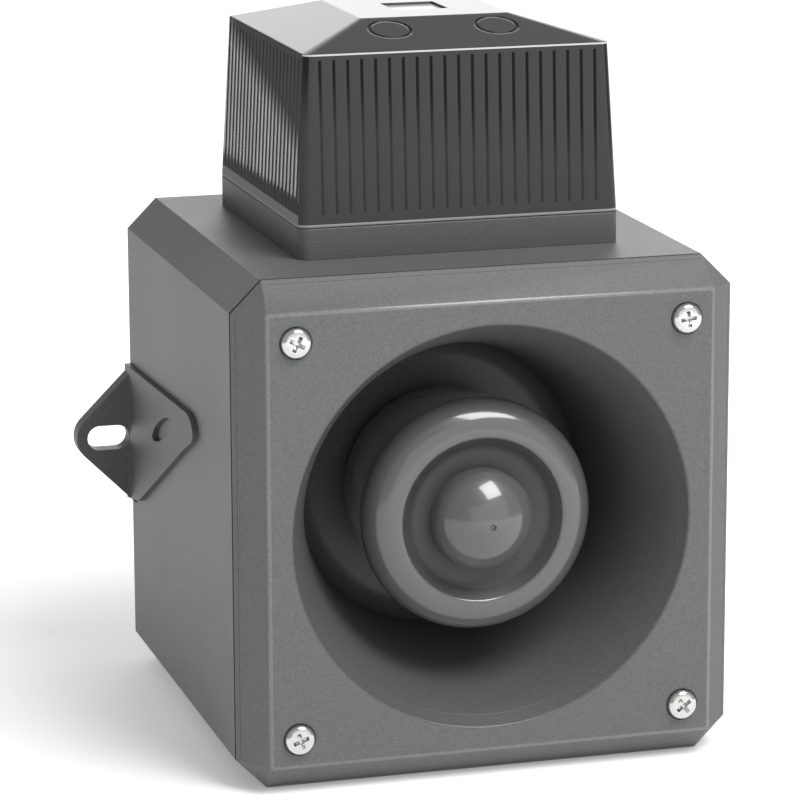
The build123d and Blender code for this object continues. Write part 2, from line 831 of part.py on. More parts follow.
# Driver front plate: throat hole, dished over the diaphragm, with a recess that traps its rim
top_front_depth = gasket_back_depth + driver_front_thickness
rim_front_depth = top_front_depth - driver_rim_recess + diaphragm_rim_gap + driver_rim_slack
dome_tip_depth = rim_front_depth - diaphragm_rise
dish_gap = diaphragm_clearance + diaphragm_travel
dish_depth = rim_front_depth - diaphragm_roll - dish_gap
dish_throat_radius = throat_radius + dish_edge_margin
dish_throat_depth = dome_tip_depth - dish_gap + dish_throat_rise
rim_slot_radius = driver_rim_radius + diaphragm_rim_gap + driver_rim_slack
rim_slot_depth = top_front_depth - driver_rim_recess
rim_inner_radius = driver_rim_radius - driver_rim_width
with BuildPart() as driver_front_plate:
    with BuildSketch(horn_section):
        with BuildLine():
            Polyline(
                (throat_radius, gasket_back_depth),
                (driver_front_radius, gasket_back_depth),
                (driver_front_radius, top_front_depth),
                (rim_slot_radius, top_front_depth),
                (rim_slot_radius, rim_slot_depth),
                (rim_inner_radius, rim_slot_depth),
                (rim_inner_radius, dish_depth),
                (coil_radius + dish_edge_margin, dish_depth),
            )
            ThreePointArc(
                (coil_radius + dish_edge_margin, dish_depth),
                (dish_middle_radius, dome_tip_depth - dish_gap + dish_middle_rise),
                (dish_throat_radius, dish_throat_depth),
            )
            Line(
                (dish_throat_radius, dish_throat_depth),
                (throat_radius, gasket_back_depth),
            )
        make_face()
    revolve(axis=horn_axis)
driver_front_plate.part.label = "driver_front_plate"
export_step(driver_front_plate.part, "parts/driver_front_plate.step")

# Diaphragm: a dome, a half roll and a flat rim that floats between the front plate and the top plate
roll_radius = (coil_radius + rim_inner_radius) / 2
dome_radius = (coil_radius ** 2 + diaphragm_rise ** 2) / (2 * diaphragm_rise)
dome_middle_depth = dome_tip_depth + dome_radius - (dome_radius ** 2 - coil_radius ** 2 / 4) ** 0.5
with BuildPart() as diaphragm:
    with BuildSketch(horn_section):
        with BuildLine():
            ThreePointArc(
                (0, dome_tip_depth),
                (coil_radius / 2, dome_middle_depth),
                (coil_radius, rim_front_depth),
            )
            ThreePointArc(
                (coil_radius, rim_front_depth),
                (roll_radius, rim_front_depth - diaphragm_roll),
                (rim_inner_radius, rim_front_depth),
            )
            Polyline(
                (rim_inner_radius, rim_front_depth),
                (driver_rim_radius - driver_rim_slack, rim_front_depth),
                (driver_rim_radius - driver_rim_slack, rim_front_depth + diaphragm_thickness),
                (rim_inner_radius, rim_front_depth + diaphragm_thickness),
            )
            ThreePointArc(
                (rim_inner_radius, rim_front_depth + diaphragm_thickness),
                (roll_radius, rim_front_depth - diaphragm_roll + diaphragm_thickness),
                (coil_radius + coil_former_wall, rim_front_depth + diaphragm_thickness),
            )
            Line(
                (coil_radius + coil_former_wall, rim_front_depth + diaphragm_thickness),
                (coil_radius, rim_front_depth + diaphragm_thickness),
            )
            ThreePointArc(
                (coil_radius, rim_front_depth + diaphragm_thickness),
                (coil_radius / 2, dome_middle_depth + diaphragm_thickness),
                (0, dome_tip_depth + diaphragm_thickness),
            )
            Line((0, dome_tip_depth + diaphragm_thickness), (0, dome_tip_depth))
        make_face()
    revolve(axis=horn_axis)
diaphragm.part.label = "diaphragm"
export_step(diaphragm.part, "parts/diaphragm.step")

# Voice coil: a thin former on the diaphragm's back with the winding round it
coil_front_depth = rim_front_depth + diaphragm_thickness
coil_back_depth = coil_front_depth + coil_lead + coil_length
with BuildPart() as voice_coil:
    with BuildSketch(horn_section):
        Polygon(
            (coil_radius, coil_front_depth),
            (coil_radius + coil_former_wall, coil_front_depth),
            (coil_radius + coil_former_wall, coil_front_depth + coil_lead),
            (coil_radius + coil_former_wall + coil_wall, coil_front_depth + coil_lead),
            (coil_radius + coil_former_wall + coil_wall, coil_back_depth),
            (coil_radius, coil_back_depth),
            align=None,
        )
    revolve(axis=horn_axis)
voice_coil.part.label = "voice_coil"
export_step(voice_coil.part, "parts/voice_coil.step")

# Driver top plate: square steel with rounded corners, bored for the coil and drilled for its screws
top_back_depth = top_front_depth + driver_top_thickness
coil_bore_radius = coil_radius + coil_former_wall + coil_wall + coil_gap
with BuildPart() as driver_top_plate:
    with BuildSketch(facing(top_back_depth)):
        RectangleRounded(driver_plate_side, driver_plate_side, driver_corner_radius)
        Circle(coil_bore_radius, mode=Mode.SUBTRACT)
        with GridLocations(driver_screw_spacing, driver_screw_spacing, 2, 2):
            Circle(driver_screw_hole_radius, mode=Mode.SUBTRACT)
    extrude(amount=driver_top_thickness)
driver_top_plate.part.label = "driver_top_plate"
export_step(driver_top_plate.part, "parts/driver_top_plate.step")

# Ring magnet
magnet_back_depth = top_back_depth + magnet_thickness
with BuildPart() as driver_magnet:
    with BuildSketch(facing(magnet_back_depth)):
        Circle(magnet_radius)
        Circle(magnet_hole_radius, mode=Mode.SUBTRACT)
    extrude(amount=magnet_thickness)
driver_magnet.part.label = "driver_magnet"
export_step(driver_magnet.part, "parts/driver_magnet.step")

# Back plate with the pole that stands inside the coil
pole_front_depth = top_front_depth + pole_drop
with BuildPart() as driver_back_plate:
    with BuildSketch(facing(magnet_back_depth + back_plate_thickness)):
        Circle(back_plate_radius)
    extrude(amount=back_plate_thickness)
    with BuildSketch(facing(magnet_back_depth)):
        Circle(coil_radius - pole_gap)
    extrude(amount=magnet_back_depth - pole_front_depth)
    chamfer(driver_back_plate.edges().group_by(Axis.Y)[-1], length=back_plate_chamfer)
driver_back_plate.part.label = "driver_back_plate"
export_step(driver_back_plate.part, "parts/driver_back_plate.step")

# Four driver screws, through the top plate into the flare's bosses
driver_screw = make_pan_screw(
    driver_screw_head_radius,
    driver_screw_head_height,
    driver_screw_radius,
    driver_top_thickness + driver_screw_bite,
    driver_screw_cross,
)
with BuildPart() as driver_screws:
    with Locations(backing(top_back_depth)):
        with GridLocations(driver_screw_spacing, driver_screw_spacing, 2, 2):
            add(driver_screw)
driver_screws.part.label = "driver_screws"
export_step(driver_screws.part, "parts/driver_screws.step")

# Sounder circuit board
with BuildPart() as sounder_circuit_board:
    with BuildSketch(facing(board_back_depth)):
        RectangleRounded(board_side, board_side, board_corner_radius)
        with GridLocations(board_screw_spacing, board_screw_spacing, 2, 2):
            Circle(board_screw_radius + board_hole_clearance, mode=Mode.SUBTRACT)
    extrude(amount=board_thickness)
sounder_circuit_board.part.label = "sounder_circuit_board"
export_step(sounder_circuit_board.part, "parts/sounder_circuit_board.step")

# Four board screws
board_screw = make_pan_screw(
    board_screw_head_radius,
    board_screw_head_height,
    board_screw_radius,
    board_screw_length,
    board_screw_cross,
)
with BuildPart() as board_screws:
    with Locations(facing(board_front_depth)):
        with GridLocations(board_screw_spacing, board_screw_spacing, 2, 2):
            add(board_screw)
board_screws.part.label = "board_screws"
export_step(board_screws.part, "parts/board_screws.step")

# Terminal block along the board's lower edge, with a wire hole and a screw well for each way
terminal_drop = board_half - terminal_margin
terminal_width = terminal_ways * terminal_pitch
screw_well_depth = terminal_screw_length + terminal_screw_sink
with BuildPart() as terminal_block:
    with BuildSketch(facing(board_front_depth)):
        with Locations((0, -terminal_drop)):
            Rectangle(terminal_width, terminal_height)
    extrude(amount=terminal_depth)
    with BuildSketch(facing(board_front_depth - terminal_depth)):
        with Locations((0, -terminal_drop)):
            with GridLocations(terminal_pitch, 0, terminal_ways, 1):
                Circle(terminal_screw_radius + terminal_screw_clearance)
    extrude(amount=-screw_well_depth, mode=Mode.SUBTRACT)
    with BuildSketch(Plane.XY.offset(axis_z - terminal_drop - terminal_height / 2)):
        with Locations((0, front_y + board_front_depth - terminal_depth / 2 + wire_hole_setback)):
            with GridLocations(terminal_pitch, 0, terminal_ways, 1):
                Rectangle(wire_hole_side, wire_hole_side)
    extrude(amount=wire_hole_length, mode=Mode.SUBTRACT)
terminal_block.part.label = "terminal_block"
export_step(terminal_block.part, "parts/terminal_block.step")

# Terminal screws on the floors of their wells
with BuildPart() as terminal_screws:
    with BuildSketch(facing(board_front_depth - terminal_depth + screw_well_depth)):
        with Locations((0, -terminal_drop)):
            with GridLocations(terminal_pitch, 0, terminal_ways, 1):
                Circle(terminal_screw_radius)
    extrude(amount=terminal_screw_length)
    with BuildSketch(facing(board_front_depth - terminal_depth + screw_well_depth - terminal_screw_length)):
        with Locations((0, -terminal_drop)):
            with GridLocations(terminal_pitch, 0, terminal_ways, 1):
                Rectangle(2 * terminal_screw_radius, terminal_slot_width)
    extrude(amount=-terminal_slot_depth, mode=Mode.SUBTRACT)
terminal_screws.part.label = "terminal_screws"
export_step(terminal_screws.part, "parts/terminal_screws.step")

# Tone switch body with a slot for each lever
switch_side_offset = board_half - switch_margin
switch_width = switch_levers * switch_pitch + 2 * switch_end
switch_front_depth = board_front_depth - switch_body_depth
lever_slot_width = lever_width + 2 * lever_clearance
lever_slot_length = lever_length + lever_travel + 2 * lever_clearance
with BuildPart() as tone_switch_body:
    with BuildSketch(facing(board_front_depth)):
        with Locations((-switch_side_offset, -switch_drop)):
            Rectangle(switch_width, switch_body_height)
    extrude(amount=switch_body_depth)
    with BuildSketch(facing(switch_front_depth)):
        with Locations((-switch_side_offset, -switch_drop)):
            with GridLocations(switch_pitch, 0, switch_levers, 1):
                Rectangle(lever_slot_width, lever_slot_length)
    extrude(amount=-lever_well_depth, mode=Mode.SUBTRACT)
tone_switch_body.part.label = "tone_switch_body"
export_step(tone_switch_body.part, "parts/tone_switch_body.step")

# Tone levers, each at the lower end of its slot
lever_rest_z = -switch_drop - lever_travel / 2
for index in range(switch_levers):
    lever_x = -switch_side_offset + (index - (switch_levers - 1) / 2) * switch_pitch
    with BuildPart() as tone_lever:
        with BuildSketch(facing(switch_front_depth + lever_well_depth - lever_clearance)):
            with Locations((lever_x, lever_rest_z)):
                Rectangle(lever_width, lever_length)
        extrude(amount=lever_well_depth - lever_clearance + lever_proud)
        chamfer(tone_lever.edges().group_by(Axis.Y)[0].filter_by(Axis.X), length=lever_chamfer)
    lever_name = f"tone_lever_{index + 1}"
    tone_lever.part.label = lever_name
    export_step(tone_lever.part, f"parts/{lever_name}.step")

# Volume trimmer body with a round well
trimmer_rise = board_half - trimmer_margin
trimmer_front_depth = board_front_depth - trimmer_depth
with BuildPart() as volume_trimmer_body:
    with BuildSketch(facing(board_front_depth)):
        with Locations((-switch_side_offset, trimmer_rise)):
            Rectangle(trimmer_side, trimmer_side)
    extrude(amount=trimmer_depth)
    with BuildSketch(facing(trimmer_front_depth)):
        with Locations((-switch_side_offset, trimmer_rise)):
            Circle(trimmer_rotor_radius + trimmer_clearance)
    extrude(amount=-trimmer_rotor_depth, mode=Mode.SUBTRACT)
volume_trimmer_body.part.label = "volume_trimmer_body"
export_step(volume_trimmer_body.part, "parts/volume_trimmer_body.step")

# Volume trimmer rotor with its screwdriver slot
with BuildPart() as volume_trimmer_rotor:
    with BuildSketch(facing(trimmer_front_depth + trimmer_rotor_depth - trimmer_clearance)):
        with Locations((-switch_side_offset, trimmer_rise)):
            Circle(trimmer_rotor_radius)
    extrude(amount=trimmer_rotor_depth - trimmer_clearance + trimmer_rotor_proud)
    with BuildSketch(facing(trimmer_front_depth - trimmer_rotor_proud)):
        with Locations((-switch_side_offset, trimmer_rise)):
            Rectangle(2 * trimmer_rotor_radius, trimmer_slot_width)
    extrude(amount=-trimmer_slot_depth, mode=Mode.SUBTRACT)
volume_trimmer_rotor.part.label = "volume_trimmer_rotor"
export_step(volume_trimmer_rotor.part, "parts/volume_trimmer_rotor.step")

# Two board capacitors standing out from the board
capacitor_offset = board_half - capacitor_margin
capacitor_rise = board_half - capacitor_drop
with BuildPart() as board_capacitors:
    with BuildSketch(facing(board_front_depth)):
        with Locations((-capacitor_offset + capacitor_pitch / 2, capacitor_rise)):
            with GridLocations(capacitor_pitch, 0, 2, 1):
                Circle(capacitor_radius)
    extrude(amount=capacitor_height)
    fillet(board_capacitors.edges().group_by(Axis.Y)[0], radius=capacitor_fillet)
board_capacitors.part.label = "board_capacitors"
export_step(board_capacitors.part, "parts/board_capacitors.step")

# Board transformer: a square core with the winding standing proud of it above and below
transformer_offset = board_half - transformer_side_margin
transformer_rise = board_half - transformer_top_margin
with BuildPart() as board_transformer:
    with BuildSketch(facing(board_front_depth)):
        with Locations((transformer_offset, transformer_rise - transformer_height / 2)):
            Rectangle(transformer_width, transformer_height)
    extrude(amount=transformer_depth)
    with BuildSketch(facing(board_front_depth - transformer_coil_lift)):
        with Locations((transformer_offset, transformer_rise - transformer_height / 2)):
            Rectangle(transformer_coil_width, transformer_height + 2 * transformer_coil)
    extrude(amount=transformer_depth)
board_transformer.part.label = "board_transformer"
export_step(board_transformer.part, "parts/board_transformer.step")

# Driver connector: a small open box with two pins
connector_offset = board_half - connector_margin
with BuildPart() as driver_connector:
    with BuildSketch(facing(board_front_depth)):
        with Locations((connector_offset, -connector_rise)):
            Rectangle(connector_width, connector_height)
    extrude(amount=connector_depth)
    with BuildSketch(facing(board_front_depth - connector_depth)):
        with Locations((connector_offset, -connector_rise)):
            Rectangle(connector_width - 2 * connector_wall, connector_height - 2 * connector_wall)
    extrude(amount=connector_wall - connector_depth, mode=Mode.SUBTRACT)
    with BuildSketch(facing(board_front_depth)):
        with Locations((connector_offset, -connector_rise)):
            with GridLocations(connector_pin_pitch, 0, 2, 1):
                Rectangle(connector_wall, connector_wall)
    extrude(amount=connector_depth - connector_pin_sink)
driver_connector.part.label = "driver_connector"
export_step(driver_connector.part, "parts/driver_connector.step")

# Flush blanking plug in the right hand cable entry, with a hexagon socket and a groove for its seal
plug_radius = entry_radius - plug_clearance
with BuildPart() as cable_entry_plug:
    with BuildSketch(Plane.XY):
        with Locations((half_entry, entry_y)):
            Circle(plug_radius)
    extrude(amount=plug_length)
    with BuildSketch(Plane.XY.offset(plug_groove_height)):
        with Locations((half_entry, entry_y)):
            Circle(plug_radius)
            Circle(plug_radius - plug_groove_depth, mode=Mode.SUBTRACT)
    extrude(amount=plug_groove_width, mode=Mode.SUBTRACT)
    with BuildSketch(Plane.XY):
        with Locations((half_entry, entry_y)):
            RegularPolygon(plug_hex / 2, 6, major_radius=False)
    extrude(amount=plug_hex_depth, mode=Mode.SUBTRACT)
cable_entry_plug.part.label = "cable_entry_plug"
export_step(cable_entry_plug.part, "parts/cable_entry_plug.step")

# Seal ring in the plug's groove
with BuildPart() as cable_entry_seal:
    with BuildSketch(Plane.XY.offset(plug_groove_height)):
        with Locations((half_entry, entry_y)):
            Circle(entry_radius - seal_squeeze)
            Circle(plug_radius - plug_groove_depth, mode=Mode.SUBTRACT)
    extrude(amount=plug_groove_width)
cable_entry_seal.part.label = "cable_entry_seal"
export_step(cable_entry_seal.part, "parts/cable_entry_seal.step")

# Left mounting lug: a slotted page against the wall, let into the housing's back, and a thin cheek that
# lies along the housing's side
lug_plane = Plane(origin=(-half_width, back_y, axis_z), x_dir=(0, 1, 0), z_dir=(1, 0, 0))
with BuildPart() as mounting_lug_left:
    with BuildSketch(facing(casing_depth)):
        with Locations((-half_width, 0)):
            add(lug_outline(lug_half_diagonal).sketch)
        with Locations((-half_width - lug_slot_offset, 0)):
            SlotOverall(lug_slot_length, lug_slot_width, mode=Mode.SUBTRACT)
        with Locations((-lug_screw_x, 0)):
            Circle(lug_screw_radius + lug_screw_head_gap, mode=Mode.SUBTRACT)
    extrude(amount=lug_thickness)
    with Locations(backing(casing_depth)):
        with Locations((-lug_screw_x, 0)):
            Cone(
                lug_screw_radius + lug_screw_head_gap,
                lug_screw_head_radius + lug_screw_head_gap,
                lug_screw_head_radius - lug_screw_radius,
                align=(Align.CENTER, Align.CENTER, Align.MAX),
                mode=Mode.SUBTRACT,
            )
    with BuildSketch(lug_plane):
        with BuildLine():
            Line((0, cheek_top_rise), (-cheek_top_reach, cheek_top_front_rise))
            Spline(
                (-cheek_top_reach, cheek_top_front_rise),
                (-cheek_tip_reach, cheek_tip_rise),
                (-cheek_low_reach, cheek_low_rise),
                tangents=[
                    (-cheek_top_reach, cheek_top_front_rise - cheek_top_rise),
                    (cheek_low_reach - cheek_foot_reach, -cheek_low_rise - cheek_foot_drop),
                ],
            )
            Polyline(
                (-cheek_low_reach, cheek_low_rise),
                (-cheek_foot_reach, -cheek_foot_drop),
                (0, -cheek_back_drop),
                (0, cheek_top_rise),
            )
        make_face()
        with Locations((-cheek_hole_reach, cheek_hole_rise)):
            Ellipse(
                cheek_hole_half_length,
                cheek_hole_half_height,
                rotation=-cheek_hole_tilt,
                mode=Mode.SUBTRACT,
            )
    extrude(amount=-cheek_thickness)
mounting_lug_left.part.label = "mounting_lug_left"
export_step(mounting_lug_left.part, "parts/mounting_lug_left.step")

# Right mounting lug: the same, mirrored
with BuildPart() as mounting_lug_right:
    mirror(mounting_lug_left.part, about=Plane.YZ)
mounting_lug_right.part.label = "mounting_lug_right"
export_step(mounting_lug_right.part, "parts/mounting_lug_right.step")

# Countersunk lug screws, flush with the wall side
with BuildPart() as lug_screws:
    with BuildSketch(facing(casing_depth)):
        with Locations((-lug_screw_x, 0), (lug_screw_x, 0)):
            Circle(lug_screw_radius)
    extrude(amount=lug_thickness + lug_screw_bite)
    with Locations(backing(casing_depth)):
        with Locations((-lug_screw_x, 0), (lug_screw_x, 0)):
            Cone(
                lug_screw_radius,
                lug_screw_head_radius,
                lug_screw_head_radius - lug_screw_radius,
                align=(Align.CENTER, Align.CENTER, Align.MAX),
            )
            Box(lug_screw_cross, lug_screw_cross_width, 2 * lug_screw_cross_depth, mode=Mode.SUBTRACT)
            Box(lug_screw_cross_width, lug_screw_cross, 2 * lug_screw_cross_depth, mode=Mode.SUBTRACT)
lug_screws.part.label = "lug_screws"
export_step(lug_screws.part, "parts/lug_screws.step")

# Beacon base: a square tray with a lip for the lens, screw bosses and board pillars
beacon_half = beacon_side / 2
lens_inner_half = beacon_half - lens_wall
lens_slope = degrees(atan(lens_taper / lens_height))
inner_corner_radius = beacon_corner_radius - inner_corner_drop
with BuildPart() as beacon_base:
    with BuildSketch(beacon_plane(0)):
        RectangleRounded(beacon_side, beacon_side, beacon_corner_radius)
    extrude(amount=beacon_base_height)
    chamfer(beacon_base.edges().group_by(Axis.Z)[-1], length=beacon_base_chamfer)
    lip_side = 2 * (lens_inner_half - beacon_lip_clearance)
    with BuildSketch(beacon_plane(beacon_base_height)):
        RectangleRounded(lip_side, lip_side, beacon_corner_radius)
    extrude(amount=beacon_lip_height, taper=lens_slope)
    pocket_side = lip_side - 2 * beacon_lip_wall
    with BuildSketch(beacon_plane(beacon_floor)):
        RectangleRounded(pocket_side, pocket_side, beacon_corner_radius)
    extrude(amount=beacon_base_height + beacon_lip_height - beacon_floor, mode=Mode.SUBTRACT)
    with BuildSketch(beacon_plane(0)):
        with GridLocations(beacon_screw_spacing, beacon_screw_spacing, 2, 2):
            Circle(beacon_boss_radius)
        with GridLocations(beacon_board_screw_spacing, beacon_board_screw_spacing, 2, 2):
            Circle(beacon_board_pillar_radius)
    extrude(amount=beacon_boss_height)
    with BuildSketch(beacon_plane(0)):
        with GridLocations(beacon_screw_spacing, beacon_screw_spacing, 2, 2):
            Circle(beacon_screw_radius + pilot_clearance)
    extrude(amount=beacon_screw_length, mode=Mode.SUBTRACT)
    with BuildSketch(beacon_plane(beacon_boss_height)):
        with GridLocations(beacon_board_screw_spacing, beacon_board_screw_spacing, 2, 2):
            Circle(beacon_board_screw_radius + pilot_clearance)
    extrude(amount=-beacon_board_screw_bite, mode=Mode.SUBTRACT)
    with BuildSketch(beacon_plane(0)):
        Circle(beacon_wire_hole_radius)
    extrude(amount=beacon_floor, mode=Mode.SUBTRACT)
    with BuildSketch(beacon_plane(0)):
        Rectangle(base_gasket_side, base_gasket_side)
        gasket_hole_side = base_gasket_side - 2 * base_gasket_width
        Rectangle(gasket_hole_side, gasket_hole_side, mode=Mode.SUBTRACT)
    extrude(amount=base_gasket_thickness, mode=Mode.SUBTRACT)
    with BuildSketch(beacon_plane(beacon_base_height)):
        seal_side = 2 * (beacon_half - (lens_wall - lens_seal_width) / 2)
        RectangleRounded(seal_side, seal_side, beacon_corner_radius)
        seal_hole_side = seal_side - 2 * lens_seal_width
        RectangleRounded(seal_hole_side, seal_hole_side, inner_corner_radius, mode=Mode.SUBTRACT)
    extrude(amount=-lens_seal_thickness, mode=Mode.SUBTRACT)
beacon_base.part.label = "beacon_base"
export_step(beacon_base.part, "parts/beacon_base.step")

# Gasket in the groove under the beacon base
with BuildPart() as beacon_base_gasket:
    with BuildSketch(beacon_plane(0)):
        Rectangle(base_gasket_side, base_gasket_side)
        Rectangle(gasket_hole_side, gasket_hole_side, mode=Mode.SUBTRACT)
    extrude(amount=base_gasket_thickness)
beacon_base_gasket.part.label = "beacon_base_gasket"
export_step(beacon_base_gasket.part, "parts/beacon_base_gasket.step")

# Seal in the groove under the lens
with BuildPart() as beacon_lens_seal:
    with BuildSketch(beacon_plane(beacon_base_height)):
        RectangleRounded(seal_side, seal_side, beacon_corner_radius)
        RectangleRounded(seal_hole_side, seal_hole_side, inner_corner_radius, mode=Mode.SUBTRACT)
    extrude(amount=-lens_seal_thickness)
beacon_lens_seal.part.label = "beacon_lens_seal"
export_step(beacon_lens_seal.part, "parts/beacon_lens_seal.step")

# Four screws that hold the beacon base, driven upwards from inside the housing
beacon_screw = make_pan_screw(
    beacon_screw_head_radius,
    beacon_screw_head_height,
    beacon_screw_radius,
    housing_wall + beacon_screw_length - screw_end_gap,
    beacon_screw_cross,
)
beacon_screw_seat = Plane(
    origin=(0, beacon_y, casing_height - housing_wall),
    x_dir=(1, 0, 0),
    z_dir=(0, 0, -1),
)
with BuildPart() as beacon_screws:
    with Locations(beacon_screw_seat):
        with GridLocations(beacon_screw_spacing, beacon_screw_spacing, 2, 2):
            add(beacon_screw)
beacon_screws.part.label = "beacon_screws"
export_step(beacon_screws.part, "parts/beacon_screws.step")

# Beacon lens: a tapered square shell with a hipped roof, upright flutes, a roof recess and two rings
eave_height = beacon_base_height + lens_height
eave_half = beacon_half - lens_taper
roof_top_height = eave_height + roof_height
roof_run = eave_half - plateau_half
with BuildPart() as beacon_lens:
    with BuildSketch(beacon_plane(beacon_base_height)):
        RectangleRounded(beacon_side, beacon_side, beacon_corner_radius)
    with BuildSketch(beacon_plane(eave_height)):
        RectangleRounded(2 * eave_half, 2 * eave_half, eave_corner_radius)
    with BuildSketch(beacon_plane(roof_top_height)):
        RectangleRounded(2 * plateau_half, 2 * plateau_half, plateau_corner_radius)
    loft(ruled=True)
    with BuildSketch(beacon_plane(beacon_base_height)):
        RectangleRounded(2 * lens_inner_half, 2 * lens_inner_half, inner_corner_radius)
    with BuildSketch(beacon_plane(eave_height - roof_wall_drop)):
        inner_eave_half = eave_half - lens_wall
        RectangleRounded(2 * inner_eave_half, 2 * inner_eave_half, plateau_corner_radius)
    with BuildSketch(beacon_plane(roof_top_height - lens_wall)):
        RectangleRounded(2 * plateau_half, 2 * plateau_half, plateau_corner_radius)
    loft(ruled=True, mode=Mode.SUBTRACT)
    # Upright grooves between the flutes, on each of the four sides
    flute_pitch = 2 * (eave_half - eave_corner_radius - flute_margin) / flutes_per_side
    flute_length = hypot(lens_height, lens_taper) * (1 - (lens_band + flute_top_gap) / lens_height)
    band_half = beacon_half - lens_taper * lens_band / lens_height
    for turn in range(4):
        along = Vector(1, 0, 0).rotate(Axis.Z, 90 * turn)
        outwards = Vector(0, -1, 0).rotate(Axis.Z, 90 * turn)
        foot = Vector(0, beacon_y, casing_height + beacon_base_height + lens_band) + outwards * band_half
        upwards = outwards * -lens_taper + Vector(0, 0, lens_height)
        with BuildSketch(Plane(origin=foot, x_dir=along, z_dir=upwards)):
            with GridLocations(flute_pitch, 0, flutes_per_side + 1, 1):
                Polygon(
                    (-flute_groove_width / 2, -flute_groove_lap),
                    (flute_groove_width / 2, -flute_groove_lap),
                    (0, flute_groove_depth),
                    align=None,
                )
        extrude(amount=flute_length, mode=Mode.SUBTRACT)
    # Square recess in the plateau
    with BuildSketch(beacon_plane(roof_top_height)):
        Rectangle(roof_recess_side, roof_recess_side)
    extrude(amount=-roof_recess_depth, mode=Mode.SUBTRACT)
    # Ring grooves on the front slope of the roof
    ring_place = Vector(
        0,
        beacon_y - plateau_half - roof_ring_inset,
        casing_height + roof_top_height - roof_height * roof_ring_inset / roof_run,
    )
    roof_normal = Vector(0, -roof_height, roof_run)
    with BuildSketch(Plane(origin=ring_place, x_dir=(1, 0, 0), z_dir=roof_normal)):
        with Locations((-roof_ring_offset, 0), (roof_ring_offset, 0)):
            Circle(roof_ring_radius)
            Circle(roof_ring_radius - roof_ring_width, mode=Mode.SUBTRACT)
    extrude(amount=-roof_ring_depth, mode=Mode.SUBTRACT)
beacon_lens.part.label = "beacon_lens"
export_step(beacon_lens.part, "parts/beacon_lens.step")

# Beacon circuit board on the base's bosses and pillars
beacon_board_top = beacon_boss_height + beacon_board_thickness
with BuildPart() as beacon_circuit_board:
    with BuildSketch(beacon_plane(beacon_boss_height)):
        RectangleRounded(beacon_board_side, beacon_board_side, beacon_board_corner)
        with GridLocations(beacon_board_screw_spacing, beacon_board_screw_spacing, 2, 2):
            Circle(beacon_board_screw_radius + board_hole_clearance, mode=Mode.SUBTRACT)
    extrude(amount=beacon_board_thickness)
beacon_circuit_board.part.label = "beacon_circuit_board"
export_step(beacon_circuit_board.part, "parts/beacon_circuit_board.step")

# Beacon board screws
beacon_board_screw = make_pan_screw(
    beacon_board_screw_head_radius,
    beacon_board_screw_head_height,
    beacon_board_screw_radius,
    beacon_board_thickness + beacon_board_screw_bite - screw_end_gap,
    beacon_board_screw_cross,
)
with BuildPart() as beacon_board_screws:
    with Locations(beacon_plane(beacon_board_top)):
        with GridLocations(beacon_board_screw_spacing, beacon_board_screw_spacing, 2, 2):
            add(beacon_board_screw)
beacon_board_screws.part.label = "beacon_board_screws"
export_step(beacon_board_screws.part, "parts/beacon_board_screws.step")

# Socket for the flash tube
with BuildPart() as flash_tube_socket:
    with BuildSketch(beacon_plane(beacon_board_top)):
        Circle(socket_radius)
    extrude(amount=socket_height)
    with BuildSketch(beacon_plane(beacon_board_top + socket_height)):
        with GridLocations(2 * flash_tube_bend, 0, 2, 1):
            Circle(flash_tube_radius + flash_tube_fit)
    extrude(amount=-socket_hole_depth, mode=Mode.SUBTRACT)
flash_tube_socket.part.label = "flash_tube_socket"
export_step(flash_tube_socket.part, "parts/flash_tube_socket.step")

# Flash tube: one sealed glass tube bent into a U, standing in its socket
tube_foot_height = beacon_board_top + socket_height - socket_hole_depth
tube_leg_top = tube_foot_height + flash_tube_leg_height
beacon_upright = Plane(origin=(0, beacon_y, casing_height), x_dir=(1, 0, 0), z_dir=(0, -1, 0))
with BuildPart() as flash_tube:
    with BuildLine(beacon_upright):
        Line((-flash_tube_bend, tube_foot_height), (-flash_tube_bend, tube_leg_top))
        ThreePointArc(
            (-flash_tube_bend, tube_leg_top),
            (0, tube_leg_top + flash_tube_bend),
            (flash_tube_bend, tube_leg_top),
        )
        Line((flash_tube_bend, tube_leg_top), (flash_tube_bend, tube_foot_height))
    with BuildSketch(beacon_plane(tube_foot_height)):
        with Locations((-flash_tube_bend, 0)):
            Circle(flash_tube_radius)
    sweep()
flash_tube.part.label = "flash_tube"
export_step(flash_tube.part, "parts/flash_tube.step")

# Reflector dish round the socket
beacon_axis = Axis((0, beacon_y, 0), (0, 0, 1))
reflector_middle = (reflector_floor_radius + reflector_radius) / 2
reflector_hole_radius = socket_radius + reflector_socket_gap
with BuildPart() as beacon_reflector:
    with BuildSketch(beacon_upright):
        with BuildLine():
            Polyline(
                (reflector_floor_radius, beacon_board_top + reflector_wall),
                (reflector_hole_radius, beacon_board_top + reflector_wall),
                (reflector_hole_radius, beacon_board_top),
                (reflector_floor_radius, beacon_board_top),
            )
            ThreePointArc(
                (reflector_floor_radius, beacon_board_top),
                (reflector_middle + reflector_outer_bow, beacon_board_top + reflector_bow_rise),
                (reflector_radius, beacon_board_top + reflector_height),
            )
            Line(
                (reflector_radius, beacon_board_top + reflector_height),
                (reflector_radius - reflector_wall, beacon_board_top + reflector_height),
            )
            ThreePointArc(
                (reflector_radius - reflector_wall, beacon_board_top + reflector_height),
                (reflector_middle, beacon_board_top + reflector_bow_rise + reflector_wall),
                (reflector_floor_radius, beacon_board_top + reflector_wall),
            )
        make_face()
    revolve(axis=beacon_axis)
beacon_reflector.part.label = "beacon_reflector"
export_step(beacon_reflector.part, "parts/beacon_reflector.step")

